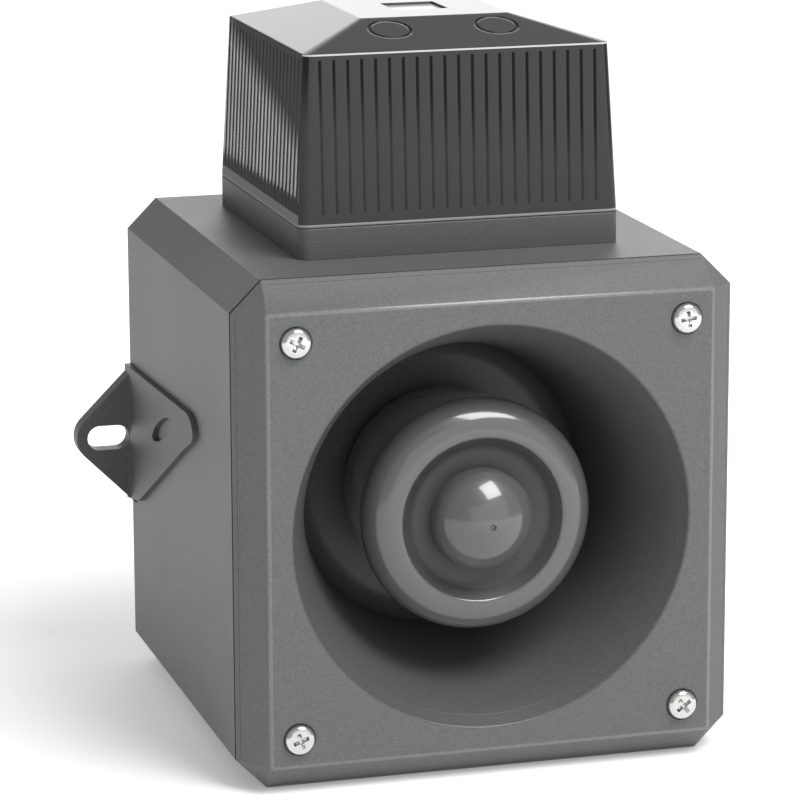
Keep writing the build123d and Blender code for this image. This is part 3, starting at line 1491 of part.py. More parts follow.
# Flash capacitor lying along the back of the beacon board
with BuildPart() as flash_capacitor:
    with BuildSketch(
        Plane(
            origin=(
                -flash_capacitor_length / 2,
                beacon_y + flash_capacitor_offset,
                casing_height + beacon_board_top + flash_capacitor_radius,
            ),
            x_dir=(0, 1, 0),
            z_dir=(1, 0, 0),
        )
    ):
        Circle(flash_capacitor_radius)
    extrude(amount=flash_capacitor_length)
    fillet(flash_capacitor.edges().group_by(Axis.X)[0], radius=capacitor_fillet)
flash_capacitor.part.label = "flash_capacitor"
export_step(flash_capacitor.part, "parts/flash_capacitor.step")

# Trigger transformer near the front of the beacon board
with BuildPart() as trigger_transformer:
    with BuildSketch(beacon_plane(beacon_board_top)):
        with Locations((0, -trigger_offset)):
            RectangleRounded(trigger_width, trigger_width, trigger_corner)
    extrude(amount=trigger_height)
trigger_transformer.part.label = "trigger_transformer"
export_step(trigger_transformer.part, "parts/trigger_transformer.step")
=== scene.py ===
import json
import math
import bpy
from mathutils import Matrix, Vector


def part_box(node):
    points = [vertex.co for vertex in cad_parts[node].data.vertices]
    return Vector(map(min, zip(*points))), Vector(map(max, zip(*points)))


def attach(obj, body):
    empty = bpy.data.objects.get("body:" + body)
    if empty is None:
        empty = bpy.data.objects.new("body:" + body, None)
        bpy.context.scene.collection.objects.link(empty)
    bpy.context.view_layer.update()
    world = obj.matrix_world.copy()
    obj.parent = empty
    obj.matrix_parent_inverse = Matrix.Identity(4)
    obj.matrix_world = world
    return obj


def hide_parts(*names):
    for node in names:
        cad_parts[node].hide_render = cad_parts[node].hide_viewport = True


bl_info = {
    "name": "Alarm sounder with beacon",
    "version": (1, 0, 0),
    "blender": (4, 5, 0),
    "location": "3D View > Sidebar > Sounder",
    "description": "Dresses the packed alarm sounder: turned horn pieces, screws, finishes and a studio",
    "category": "Object",
}

import bmesh
import bpy
from bpy.props import FloatProperty, FloatVectorProperty, IntProperty, PointerProperty
from bpy.types import Operator, Panel, PropertyGroup
from mathutils import Matrix, Vector

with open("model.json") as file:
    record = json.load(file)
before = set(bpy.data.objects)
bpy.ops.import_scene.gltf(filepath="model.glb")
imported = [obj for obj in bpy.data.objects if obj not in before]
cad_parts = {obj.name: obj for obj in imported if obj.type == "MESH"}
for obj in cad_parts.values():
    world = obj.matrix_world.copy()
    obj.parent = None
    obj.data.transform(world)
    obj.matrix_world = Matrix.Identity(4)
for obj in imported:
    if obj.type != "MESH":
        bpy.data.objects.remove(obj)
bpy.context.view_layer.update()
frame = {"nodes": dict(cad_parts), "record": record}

MM = 0.001

# Vertices closer than this are merged, in metres and in mm for a screw, and sharper edges stay sharp
MERGE = 1e-6
SCREW_MERGE = 1e-4
SMOOTH_ANGLE = 30.0
COVER_SMOOTH_ANGLE = 35.0
NOSE_SMOOTH_ANGLE = 35.0
SCREW_SMOOTH_ANGLE = 40.0

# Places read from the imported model, in metres
bell_low, bell_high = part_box("horn_bell")
lens_low, lens_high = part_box("beacon_lens")
front_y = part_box("front_cover")[0].y
seam_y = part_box("rear_housing")[0].y
axis_z = (bell_low.z + bell_high.z) / 2

# Front cover, in mm. Insets count from its side. The slope runs from the side, where the corners are cut
# wide, to the face, and the edges at its ends are rounded by rings of their own.
COVER_HALF = 67.0
COVER_DEPTH = 8.2
COVER_WALL = 4.0
SIDE_CUT = 8.2
FACE_CUT = 0.2
SLOPE_INSET = 7.6
SLOPE_START = 0.25
SLOPE_END = 7.15
SEAM_BACK_INSET = 0.3
SEAM_SIDE_INSET = 0.08
SEAM_ROUNDING = 0.03
EDGE_INSET = 7.45
EDGE_CUT_INSET = 7.4
EDGE_DEPTH = 0.24

# The last rings before the face: inset, corner cut, depth
EDGE_LAST = (7.75, 0.3, 0.06)
FACE_START = (8.1, 0.4, 0.0)

# Spigot that enters the housing. The corner cut shrinks by this share of the inset, so its wall is even.
SPIGOT_INSET = 3.85
SPIGOT_WALL = 2.4
SPIGOT_BACK = 12.2
CUT_LOSS = 0.586

# Where the cover's finish changes: the insets of the painted highlight along the face's edge, and how much a
# face looks to the back
EDGE_HIGHLIGHT_BAND = (7.2, 8.1)
EDGE_LOOK = (-0.999, -0.5)
MOUTH_LOOK = 0.5
FLAT_LOOK = 0.9999

# Rings of the cover's mouth and of each screw seat with its post: radius, depth
MOUTH_RINGS = ((53.8, 0.0), (53.5, 0.05), (53.27, 0.2), (53.12, 0.5), (51.3, 4.0))
SEAT_RINGS = ((4.4, 0.0), (4.3, 0.12), (4.3, 0.6), (2.3, 0.6), (2.3, 12.2), (4.6, 12.2), (4.6, 4.0))
SEAT_STEPS = 32
MOUTH_DARK_RADIUS = 53.72

# Cover screws, in mm, with their turns in degrees. The profile gives radius and height over the seat, and
# the recess gives the reach and half width of its arms at a height.
SCREW_REACH = 52.0
SCREW_SEAT = 0.6
SCREW_TURNS = (20, 62, 35, 8)
SCREW_STEPS = 48
SCREW_PROFILE = (
    (2.45, 2.38),
    (3.0, 2.24),
    (3.5, 1.95),
    (3.85, 1.5),
    (4.0, 0.9),
    (4.0, 0.1),
    (3.9, 0.0),
    (2.0, 0.0),
    (2.0, -22.8),
    (1.4, -24.0),
    (0.0, -24.0),
)
SCREW_RECESS = ((2.15, 0.52, 2.38), (1.75, 0.4, 1.5), (0.75, 0.3, 0.75))

# Turned profiles: radius, depth behind the front face, corner rounding in mm and its segments
FLARE_PROFILE = (
    (51.3, 4.0, 0, 0),  # lip behind the cover
    (40.23, 26.73, 25.2, 28),  # sweep of the mouth
    (39.5, 58.0, 6.0, 6),  # corner of the floor
    (6.8, 58.0, 1.0, 3),  # foot of the throat tube
    (9.8, 24.0, 0.3, 2),
    (8.0, 24.0, 0.3, 2),
    (5.0, 61.0, 0, 0),  # throat at the driver
    (42.0, 61.0, 0.8, 3),
    (42.51, 27.9, 24.0, 16),  # outside of the sweep
    (53.8, 6.6, 0, 0),
    (59.0, 6.6, 0.3, 2),  # rim of the flange
    (59.0, 4.0, 0.3, 2),
)
BELL_PROFILE = (
    (26.4, 50.0, 0.5, 3),  # rim at the back
    (32.0, 8.8, 8.9, 24),  # crest
    (22.0, 8.8, 0.5, 4),
    (18.6, 12.4, 1.2, 5),  # trough round the nose
    (6.6, 12.4, 0.4, 2),
    (6.6, 16.2, 0, 0),  # well of the bell screw
    (2.05, 16.2, 0, 0),
    (2.05, 24.0, 0, 0),
    (3.8, 24.0, 0, 0),
    (3.8, 18.4, 0.5, 2),
    (8.8, 18.4, 0.8, 3),
    (8.8, 14.6, 0.8, 3),
    (19.7, 14.6, 0.8, 3),
    (22.0, 11.0, 0.4, 2),
    (29.5, 11.0, 6.6, 12),  # inside of the crest
    (24.2, 50.0, 0.3, 2),
)
# The bell's faces inside these get the trough's darker finish, which paints the shade of its recess
TROUGH_RADIUS = 21.6
TROUGH_DEPTH = 9.2

# Posts and vanes of the flare, in mm
FLANGE_POSTS = 41.0
DRIVER_POSTS = 25.5
POST_RADIUS = 4.2
FLANGE_POST_SPAN = (4.0, 6.6)
DRIVER_POST_SPAN = (60.5, 69.5)
POST_STEPS = 32
HUB_RADIUS = 3.8
HUB_SPAN = (24.0, 36.0)
HUB_STEPS = 48
VANES = 3
VANE_REACH = 5.9
VANE_LENGTH = 5.1
VANE_WIDTH = 1.6

# Nose cap, in mm: the ball that its face is cut from, its rim and the depth of its tip
NOSE_BALL = 15.16
NOSE_RIM = 13.2
NOSE_TIP = 0.3
NOSE_ARCS = 24
DIMPLE_SHARE = 0.7
NOSE_BACK = (
    (13.2, 12.4, 0, 0),
    (11.4, 12.4, 0, 0),
    (11.4, 8.5, 0.5, 3),
    (6.5, 3.8, 0.5, 3),
    (6.5, 15.0, 0, 0),
    (4.7, 15.0, 0, 0),
    (4.7, 2.95, 0.5, 3),
    (0.0, 2.1, 0, 0),
)

# Beacon lens, in mm: heights above its foot, drops below its top, the roof's start over the eave, and the
# half heights of its painted highlight lines
EAVE_RISE = 44.4
EAVE_LINE_HALF = 0.45
STREAK_FOOT = 5.5
STREAK_HEAD = 7.0
RIM_RISE = 1.7
RIM_HALF = 1.4
FOOT_LINE_RISE = 0.4
FOOT_LINE_HALF = 0.35
RECESS_DROP = 0.2
ROOF_RISE = 1.0

# How a face of the lens has to look along an axis, as its normal's share of that axis
SQUARE_ON = 0.9
ROOF_LOOK = 0.5
FRONT_LOOK = 0.3
LEVEL_LOOK = 0.99

# Painted reflection streaks of the lens's sides: their ends as shares of their height, their half width
# as a share of a flute's, the dark corner's lean per metre, and how steeply each of them fades
STREAK_RAGGED = 0.06
STREAK_RISE = 14.0
STREAK_HALF = 0.2
STREAK_EDGE = 8.0
CORNER_LEAN = 7.0
CORNER_LEVEL = 0.8
CORNER_FADE = 5.0
FLUTE_RISE = 20.0
WOBBLE_SCALE = 60.0
WOBBLE_GAIN = 1.2
WOBBLE_BASE = 0.1

# Fade of the painted shade lines in the front grooves by their height, and its lean per metre across
LINE_LEAN = 4.5
LINE_FADE = (0.4, 0.7)

# Tones of the lens, which paint its reflections, highlights and groove shade, and its gloss, with its
# rounding and flutes in metres
STREAK_REFLECTION_TONE = (0.5, 0.5, 0.51, 1)
GROOVE_SHADE_TONE = (0.012, 0.012, 0.012, 1)
EAVE_HIGHLIGHT_TONE = (0.5, 0.5, 0.5, 1)
RIM_HIGHLIGHT_TONE = (0.2, 0.2, 0.2, 1)
RECESS_REFLECTION_TONE = (0.35, 0.35, 0.35, 1)
FOOT_HIGHLIGHT_TONE = (0.28, 0.28, 0.28, 1)
LENS_GLOSS = 0.2
LENS_DULL = 0.7
LENS_IOR = 1.2
LENS_ROUNDING = 0.0009
FLUTE_HEIGHT = 0.0015

# Grain and wear, with heights and roundings in metres. The rubbed gain pales worn edges and also the cover's
# painted edge highlight.
GRAIN_DETAIL = 3.0
GRAIN_HEIGHT = 0.0002
BEVEL_SAMPLES = 6
PLASTIC_ROUNDING = 0.0004
METAL_ROUNDING = 0.00015
RIM_FACING = (1.0, 0.9)
PATCH_SCALE = 28.0
MOTTLE = 0.4
GLOSSY_MOTTLE = 0.15
RUBBED_AND_HIGHLIGHT_GAIN = 1.5
GLOSS_DRIFT = 0.04
COAT_ROUGHNESS = 0.05
SCRATCH_SCALE = 900.0
SCRATCH_DEPTH = 0.04
METAL_SHADE = 0.85
METAL_GLOSS = (0.8, 1.3)
HORN_GRAIN_SHARE = 0.8

# Painted shadow in the seam between cover and housing, in mm behind the housing's front edge
SEAM_MIDDLE = 0.3
SEAM_HALF = 0.45
SEAM_SHADOW_TONE = (0.012, 0.012, 0.012, 1)

# Finishes of the hidden pieces and small parts: slot, name, colour, roughness, grain depth
PLASTICS = (
    ("seal_rubber", "Seal rubber", (0.02, 0.02, 0.02), 0.7, 0.3),
    ("black_plastic", "Black plastic", (0.02, 0.02, 0.02), 0.4, 0.3),
    ("ferrite", "Ferrite", (0.035, 0.035, 0.038), 0.6, 0.6),
    ("diaphragm_resin", "Resin cloth", (0.3, 0.13, 0.04), 0.5, 0.4),
    ("circuit_board", "Circuit board", (0.02, 0.13, 0.05), 0.3, 0.1),
    ("terminal_plastic", "Terminal plastic", (0.03, 0.2, 0.09), 0.4, 0.2),
    ("switch_plastic", "Switch plastic", (0.015, 0.04, 0.25), 0.35, 0.1),
    ("white_plastic", "White plastic", (0.75, 0.75, 0.72), 0.35, 0.1),
    ("capacitor_sleeve", "Capacitor sleeve", (0.02, 0.02, 0.04), 0.25, 0.1),
    ("transformer_tape", "Transformer tape", (0.55, 0.4, 0.04), 0.3, 0.1),
    ("tube_glass", "Tube glass", (0.85, 0.87, 0.9), 0.05, 0.0),
)

# Metals: slot, name, colour, roughness
METALS = (
    ("bright_screw", "Bright screw", (0.7, 0.7, 0.69), 0.14),
    ("zinc_steel", "Zinc steel", (0.55, 0.56, 0.58), 0.35),
    ("copper_wire", "Copper winding", (0.72, 0.33, 0.16), 0.3),
    ("reflector_metal", "Reflector metal", (0.85, 0.85, 0.86), 0.08),
)

# Studio, in metres and watts
FLOOR_TONE = (0.92, 0.92, 0.92, 1)
FLOOR_ROUGHNESS = 0.9
GLOW_MIDDLE = (0.0, -0.35, 0.0)
GLOW_REACH = (0.1, 0.8)
GLOW_STRENGTH = (0.05, 0.5)
AIR_TONE = (0.45, 0.45, 0.45, 1)
AIR_STRENGTH = 1.0
LAMP_AIM = (0, 0, 0.09)
LAMPS = (
    ("top_softbox", (0.42, -0.68, 1.2), 0.75, 0.75, 18.0),
    ("front_softbox", (0.35, -1.55, 0.5), 2.6, 1.0, 5.0),
    ("back_softbox", (0.9, 3.0, 0.9), 1.9, 1.8, 24.0),
)
CAMERA_PLACE = (-0.2861, -0.97465, 0.3249)
CAMERA_YAW = 0.2793
CAMERA_PITCH = 0.2305
CAMERA_ROLL = 0.0037
CAMERA_LENS_MM = 173.0
CAMERA_SENSOR_MM = 36.0
CAMERA_CLIP = (0.01, 50.0)


class SounderSizes(PropertyGroup):
    """Sizes that the user can change."""

    turn_steps: IntProperty(
        name="Turning steps",
        description="Faces round each turned piece",
        default=144,
        min=24,
        max=256,
        subtype="UNSIGNED",
    )
    flute_pitch: FloatProperty(
        name="Flute pitch",
        description="Distance between the lens's upright flutes",
        default=3.7 * MM,
        subtype="DISTANCE",
    )
    nose_dimple: FloatProperty(
        name="Nose dimple radius",
        description="Radius of the small dimple at the tip of the nose cap",
        default=0.9 * MM,
        subtype="DISTANCE",
    )
    floor_half: FloatProperty(
        name="Floor half width",
        description="Half the side of the studio floor",
        default=8.0,
        subtype="DISTANCE",
    )


class SounderFinishes(PropertyGroup):
    """Colours and grain of the outer finishes."""

    housing: FloatVectorProperty(
        name="Housing",
        description="Colour of the grained housing",
        default=(0.105, 0.107, 0.109),
        subtype="COLOR",
    )
    cover: FloatVectorProperty(
        name="Cover",
        description="Colour of the grained front cover",
        default=(0.11, 0.112, 0.114),
        subtype="COLOR",
    )
    horn: FloatVectorProperty(
        name="Horn",
        description="Colour of the flare inside the mouth",
        default=(0.088, 0.088, 0.09),
        subtype="COLOR",
    )
    bell: FloatVectorProperty(
        name="Bell",
        description="Colour of the glossy bell and nose",
        default=(0.085, 0.085, 0.087),
        subtype="COLOR",
    )
    # The trough's colour is darker than the bell's as painted shade of its recess
    trough: FloatVectorProperty(
        name="Trough",
        description="Colour of the matt trough round the nose",
        default=(0.04, 0.04, 0.042),
        subtype="COLOR",
    )
    lug: FloatVectorProperty(
        name="Lugs",
        description="Colour of the mounting lugs",
        default=(0.075, 0.075, 0.078),
        subtype="COLOR",
    )
    base: FloatVectorProperty(
        name="Beacon base",
        description="Colour of the tray under the lens",
        default=(0.07, 0.07, 0.073),
        subtype="COLOR",
    )
    lens: FloatVectorProperty(
        name="Lens",
        description="Colour of the beacon lens",
        default=(0.045, 0.045, 0.047),
        subtype="COLOR",
    )
    grain_size: FloatProperty(
        name="Grain size",
        description="Noise scale of the moulded grain, per metre",
        default=1800.0,
        min=100.0,
    )


def sizes():
    """The sizes that the user has set."""
    return bpy.context.scene.sounder_sizes


def finishes():
    """The colours that the user has set."""
    return bpy.context.scene.sounder_finishes


# Mesh helpers


def place_at(x, depth, z):
    """A place in metres, from mm off the horn's axis and behind the front face."""
    return Vector((x * MM, front_y + depth * MM, axis_z + z * MM))


def mesh_object(name, bm, smooth_angle=SMOOTH_ANGLE):
    """Make an object of a bmesh, smooth but for its sharp edges."""
    bmesh.ops.remove_doubles(bm, verts=bm.verts, dist=MERGE)
    bmesh.ops.recalc_face_normals(bm, faces=bm.faces)
    mesh = bpy.data.meshes.new(name)
    for face in bm.faces:
        face.smooth = True
    for edge in bm.edges:
        if len(edge.link_faces) == 2:
            edge.smooth = edge.calc_face_angle() < math.radians(smooth_angle)
    bm.to_mesh(mesh)
    bm.free()
    obj = bpy.data.objects.new(name, mesh)
    bpy.context.scene.collection.objects.link(obj)
    return obj


def spin_round(bm, middle, axis, steps):
    """Turn everything in the bmesh once round an axis."""
    bmesh.ops.spin(
        bm,
        geom=bm.verts[:] + bm.edges[:],
        cent=middle,
        axis=axis,
        angle=math.tau,
        steps=steps,
        use_merge=True,
        use_duplicate=False,
    )


def round_corner(bm, corner, rounding, segments):
    """Round one corner of a profile that isn't turned yet."""
    bmesh.ops.bevel(
        bm,
        geom=[corner],
        offset=rounding * MM,
        offset_type="OFFSET",
        affect="VERTICES",
        segments=segments,
        profile=0.5,
        material=-1,
        clamp_overlap=False,
    )


def turn_profile(bm, profile, closed=False):
    """Turn a profile of (radius, depth, rounding, segments) round the horn's axis."""
    corners = [bm.verts.new(place_at(radius, depth, 0)) for radius, depth, *_ in profile]
    for start, end in zip(corners, corners[1:]):
        bm.edges.new((start, end))
    if closed:
        bm.edges.new((corners[-1], corners[0]))
    for corner, (_, _, rounding, segments) in zip(corners, profile):
        if rounding:
            round_corner(bm, corner, rounding, segments)
    spin_round(bm, (0, 0, axis_z), (0, 1, 0), sizes().turn_steps)


def square_places(half):
    """The four corners of a square, this far in mm from the horn's axis each way."""
    return [(x, z) for x in (-half, half) for z in (-half, half)]


def post(bm, x, z, radius, span, sides):
    """A round post along the depth, from one depth of its span to the other."""
    front, back = span
    middle = place_at(x, (front + back) / 2, z)
    bmesh.ops.create_cone(
        bm,
        cap_ends=True,
        segments=sides,
        radius1=radius * MM,
        radius2=radius * MM,
        depth=(back - front) * MM,
        matrix=Matrix.Translation(middle) @ Matrix.Rotation(math.radians(90), 4, "X"),
    )


def vane(bm, turn, span):
    """A flat vane that stands out from the axis at this angle."""
    front, back = span
    middle = place_at(math.cos(turn) * VANE_REACH, (front + back) / 2, math.sin(turn) * VANE_REACH)
    size = Matrix.Diagonal((VANE_LENGTH * MM, (back - front) * MM, VANE_WIDTH * MM, 1))
    stand = Matrix.Translation(middle) @ Matrix.Rotation(-turn, 4, "Y") @ size
    bmesh.ops.create_cube(bm, size=1.0, matrix=stand)


def ring_of(bm, x, z, radius, depth, count):
    """A ring of vertices round the depth axis."""
    ring = []
    for index in range(count):
        turn = math.tau * index / count
        ring.append(bm.verts.new(place_at(x + radius * math.cos(turn), depth, z + radius * math.sin(turn))))
    return ring


def square_ring(bm, inwards, cut, depth):
    """The eight corners of a square with cut corners, this far inside the cover's side."""
    half = COVER_HALF - inwards
    end = half - cut
    corners = [(half, end), (end, half), (-end, half), (-half, end)]
    corners += [(-half, -end), (-end, -half), (end, -half), (half, -end)]
    return [bm.verts.new(place_at(x, depth, z)) for x, z in corners]


def join_rings(bm, rings):
    """Faces between each ring and the next, which have as many vertices."""
    for first, second in zip(rings, rings[1:]):
        for index in range(len(first)):
            bm.faces.new((first[index - 1], first[index], second[index], second[index - 1]))


def ring_edges(bm, ring):
    """The edges round a ring, made where they are missing."""
    edges = []
    for index in range(len(ring)):
        pair = (ring[index - 1], ring[index])
        edges.append(bm.edges.get(pair) or bm.edges.new(pair))
    return edges


# Shader helpers


def put(tree, value, socket):
    """Set a socket to a number, colour or place, or link it to another node's output."""
    if isinstance(value, bpy.types.NodeSocket):
        tree.links.new(value, socket)
    else:
        socket.default_value = value


def add(tree, kind, inputs):
    """Add a shader node and fill its inputs by name or number."""
    node = tree.nodes.new("ShaderNode" + kind)
    for label, value in inputs.items():
        put(tree, value, node.inputs[label])
    return node


def maths(tree, operation, *values, clamp=False):
    """The result of one sum on numbers and outputs."""
    node = tree.nodes.new("ShaderNodeMath")
    node.operation = operation
    node.use_clamp = clamp
    for value, socket in zip(values, node.inputs):
        put(tree, value, socket)
    return node.outputs[0]


def near(tree, value, middle, half):
    """A mask that is one where the value is within half of the middle."""
    return maths(tree, "COMPARE", value, middle, half)


def both(tree, first, second):
    """A mask that is one where both masks are."""
    return maths(tree, "MULTIPLY", first, second)


def remap(tree, value, start, end, low=0.0, high=1.0):
    """The value taken from start and end to low and high, and held between them."""
    ends = {"From Min": start, "From Max": end, "To Min": low, "To Max": high}
    return add(tree, "MapRange", {"Value": value, **ends}).outputs["Result"]


def blend(tree, below, above, mask):
    """One colour over another where the mask is."""
    node = tree.nodes.new("ShaderNodeMix")
    node.data_type = "RGBA"
    put(tree, below, node.inputs["A"])
    put(tree, above, node.inputs["B"])
    put(tree, mask, node.inputs["Factor"])
    return node.outputs["Result"]


def scaled(colour, share):
    """A colour times a share, for a shader socket."""
    return [part * share for part in colour] + [1]


def rounded_edges(tree, radius):
    """The normal of a surface whose edges look rounded by this radius."""
    node = add(tree, "Bevel", {"Radius": radius})
    node.samples = BEVEL_SAMPLES
    return node.outputs["Normal"]


def new_group(name, inputs, outputs):
    """A shader node group with its sockets, ready to be filled."""
    group = bpy.data.node_groups.new(name, "ShaderNodeTree")
    for kind, label, value in inputs:
        socket = group.interface.new_socket(label, in_out="INPUT", socket_type=kind)
        if value is not None:
            socket.default_value = value
    for kind, label in outputs:
        group.interface.new_socket(label, in_out="OUTPUT", socket_type=kind)
    return group, group.nodes.new("NodeGroupInput").outputs, group.nodes.new("NodeGroupOutput").inputs


def use_group(tree, name, make, inputs):
    """Place a node group in a tree with its own values, and make the group if it is missing."""
    group = bpy.data.node_groups.get(name) or make(name)
    node = tree.nodes.new("ShaderNodeGroup")
    node.node_tree = group
    for label, value in inputs.items():
        put(tree, value, node.inputs[label])
    return node.outputs


def grain_group(name):
    """Pebbled moulding grain with softened edges: a normal, a colour mottle and a mask of the edges."""
    group, given, out = new_group(
        name,
        [
            ("NodeSocketVector", "Place", None),
            ("NodeSocketFloat", "Size", 2600.0),
            ("NodeSocketFloat", "Depth", 0.2),
            ("NodeSocketFloat", "Edge", PLASTIC_ROUNDING),
        ],
        [("NodeSocketVector", "Normal"), ("NodeSocketFloat", "Mottle"), ("NodeSocketFloat", "Rim")],
    )
    noise = {"Vector": given["Place"], "Scale": given["Size"], "Detail": GRAIN_DETAIL}
    pebbles = add(group, "TexNoise", noise)
    soft = rounded_edges(group, given["Edge"])
    relief = {"Distance": GRAIN_HEIGHT, "Strength": given["Depth"], "Normal": soft}
    bump = add(group, "Bump", {**relief, "Height": pebbles.outputs["Fac"]})
    geometry = group.nodes.new("ShaderNodeNewGeometry")
    facing = group.nodes.new("ShaderNodeVectorMath")
    facing.operation = "DOT_PRODUCT"
    put(group, soft, facing.inputs[0])
    put(group, geometry.outputs["Normal"], facing.inputs[1])
    put(group, bump.outputs["Normal"], out["Normal"])
    put(group, pebbles.outputs["Fac"], out["Mottle"])
    put(group, remap(group, facing.outputs["Value"], *RIM_FACING), out["Rim"])
    return group


def seam_shadow_group(name):
    """A mask that is one in the seam between the cover and the housing, where its shadow is painted."""
    group, given, out = new_group(
        name,
        [
            ("NodeSocketVector", "Place", None),
            ("NodeSocketFloat", "Seam", 0.0),
            ("NodeSocketFloat", "Width", 0.0005),
        ],
        [("NodeSocketFloat", "Shade")],
    )
    split = add(group, "SeparateXYZ", {"Vector": given["Place"]})
    put(group, near(group, split.outputs["Y"], given["Seam"], given["Width"]), out["Shade"])
    return group


def reflection_streaks_group(name):
    """Masks across a side of the lens: painted reflection streaks, the rounded flutes, and the zone both
    keep to.
    """
    group, given, out = new_group(
        name,
        [
            ("NodeSocketVector", "Place", None),
            ("NodeSocketFloat", "Across", 0.0),
            ("NodeSocketFloat", "Pitch", 0.0039),
            ("NodeSocketFloat", "Foot", 0.15),
            ("NodeSocketFloat", "Head", 0.18),
        ],
        [("NodeSocketFloat", "Streak"), ("NodeSocketFloat", "Dome"), ("NodeSocketFloat", "Zone")],
    )
    split = add(group, "SeparateXYZ", {"Vector": given["Place"]})
    height = remap(group, split.outputs["Z"], given["Foot"], given["Head"])
    flutes = maths(group, "DIVIDE", given["Across"], given["Pitch"])
    off_middle = maths(group, "ABSOLUTE", maths(group, "SUBTRACT", maths(group, "FRACT", flutes), 0.5))
    fade = corner_fade(group, given, height)
    zone = maths(group, "MULTIPLY", straight_foot(group, height), fade)
    streak = maths(group, "MULTIPLY", streak_core(group, off_middle), ragged_foot(group, flutes, height))
    streak = maths(group, "MULTIPLY", streak, fade)
    streak = maths(group, "MULTIPLY", streak, streak_wobble(group, given))
    # A dome is one along the middle of its flute and nothing at both edges
    squared = maths(group, "MULTIPLY", off_middle, off_middle)
    dome = maths(group, "SUBTRACT", 1.0, maths(group, "MULTIPLY", squared, 4.0))
    put(group, streak, out["Streak"])
    put(group, maths(group, "MULTIPLY", dome, zone), out["Dome"])
    put(group, zone, out["Zone"])
    return group


def streak_core(tree, off_middle):
    """One along the middle of each flute."""
    return maths(tree, "MULTIPLY", maths(tree, "SUBTRACT", STREAK_HALF, off_middle), STREAK_EDGE, clamp=True)


def ragged_foot(tree, flutes, height):
    """One above the foot of the streaks, which is a little different in each flute."""
    dice = tree.nodes.new("ShaderNodeTexWhiteNoise")
    dice.noise_dimensions = "1D"
    put(tree, maths(tree, "FLOOR", flutes), dice.inputs["W"])
    above = maths(tree, "SUBTRACT", height, maths(tree, "MULTIPLY", dice.outputs["Value"], STREAK_RAGGED))
    return maths(tree, "MULTIPLY", above, STREAK_RISE, clamp=True)


def corner_fade(tree, given, height):
    """One under a slanting line, and nothing in the dark corner over it."""
    line = maths(tree, "ADD", maths(tree, "MULTIPLY", given["Across"], CORNER_LEAN), CORNER_LEVEL)
    return maths(tree, "MULTIPLY", maths(tree, "SUBTRACT", line, height), CORNER_FADE, clamp=True)


def straight_foot(tree, height):
    """One above the level foot of the rounded flutes."""
    return maths(tree, "MULTIPLY", height, FLUTE_RISE, clamp=True)


def streak_wobble(tree, given):
    """Uneven strength along the streaks."""
    noise = add(tree, "TexNoise", {"Vector": given["Place"], "Scale": WOBBLE_SCALE})
    return maths(tree, "ADD", maths(tree, "MULTIPLY", noise.outputs["Fac"], WOBBLE_GAIN), WOBBLE_BASE)


# Finishes


def new_material(name):
    """A material with its node tree, its shader's inputs and its Object coordinates."""
    material = bpy.data.materials.new(name)
    material.use_nodes = True
    tree = material.node_tree
    place = tree.nodes.new("ShaderNodeTexCoord").outputs["Object"]
    return material, tree, tree.nodes["Principled BSDF"].inputs, place


def moulded(name, colour, roughness, depth, share=1.0, spread=MOTTLE, coat=0.0):
    """Moulded plastic: pebbled grain, a little colour and gloss variation, paler rubbed edges."""
    material, tree, shader, place = new_material(name)
    grain = {"Place": place, "Size": finishes().grain_size * share, "Depth": depth, "Edge": PLASTIC_ROUNDING}
    texture = use_group(tree, "Moulded grain", grain_group, grain)
    patches = add(tree, "TexNoise", {"Vector": place, "Scale": PATCH_SCALE})
    tone = blend(tree, scaled(colour, 1 - spread), scaled(colour, 1 + spread), texture["Mottle"])
    paler = [min(1.0, part * RUBBED_AND_HIGHLIGHT_GAIN) for part in colour] + [1]
    rubbed = blend(tree, tone, paler, texture["Rim"])
    gloss = remap(tree, patches.outputs["Fac"], 0.0, 1.0, roughness - GLOSS_DRIFT, roughness + GLOSS_DRIFT)
    put(tree, rubbed, shader["Base Color"])
    put(tree, gloss, shader["Roughness"])
    put(tree, texture["Normal"], shader["Normal"])
    shader["Coat Weight"].default_value = coat
    shader["Coat Roughness"].default_value = COAT_ROUGHNESS
    return material


def metal(name, colour, roughness):
    """Turned or plated metal with fine rubbed marks."""
    material, tree, shader, place = new_material(name)
    grain = {"Place": place, "Size": SCRATCH_SCALE, "Depth": SCRATCH_DEPTH, "Edge": METAL_ROUNDING}
    texture = use_group(tree, "Moulded grain", grain_group, grain)
    tone = blend(tree, scaled(colour, METAL_SHADE), scaled(colour, 1), texture["Mottle"])
    bright, dull = METAL_GLOSS
    gloss = remap(tree, texture["Mottle"], 0.0, 1.0, roughness * bright, roughness * dull)
    put(tree, tone, shader["Base Color"])
    put(tree, gloss, shader["Roughness"])
    put(tree, texture["Normal"], shader["Normal"])
    shader["Metallic"].default_value = 1.0
    return material


def paint_seam_shadow(material):
    """Paint the seam's shadow as a dark band into this moulded material."""
    tree = material.node_tree
    shader = tree.nodes["Principled BSDF"].inputs
    place = tree.nodes["Texture Coordinate"].outputs["Object"]
    line = {"Place": place, "Seam": seam_y + SEAM_MIDDLE * MM, "Width": SEAM_HALF * MM}
    seam = use_group(tree, "Seam painted shadow", seam_shadow_group, line)
    base = shader["Base Color"].links[0].from_socket
    # The dark band in the seam is a painted shadow
    put(tree, blend(tree, base, SEAM_SHADOW_TONE, seam["Shade"]), shader["Base Color"])


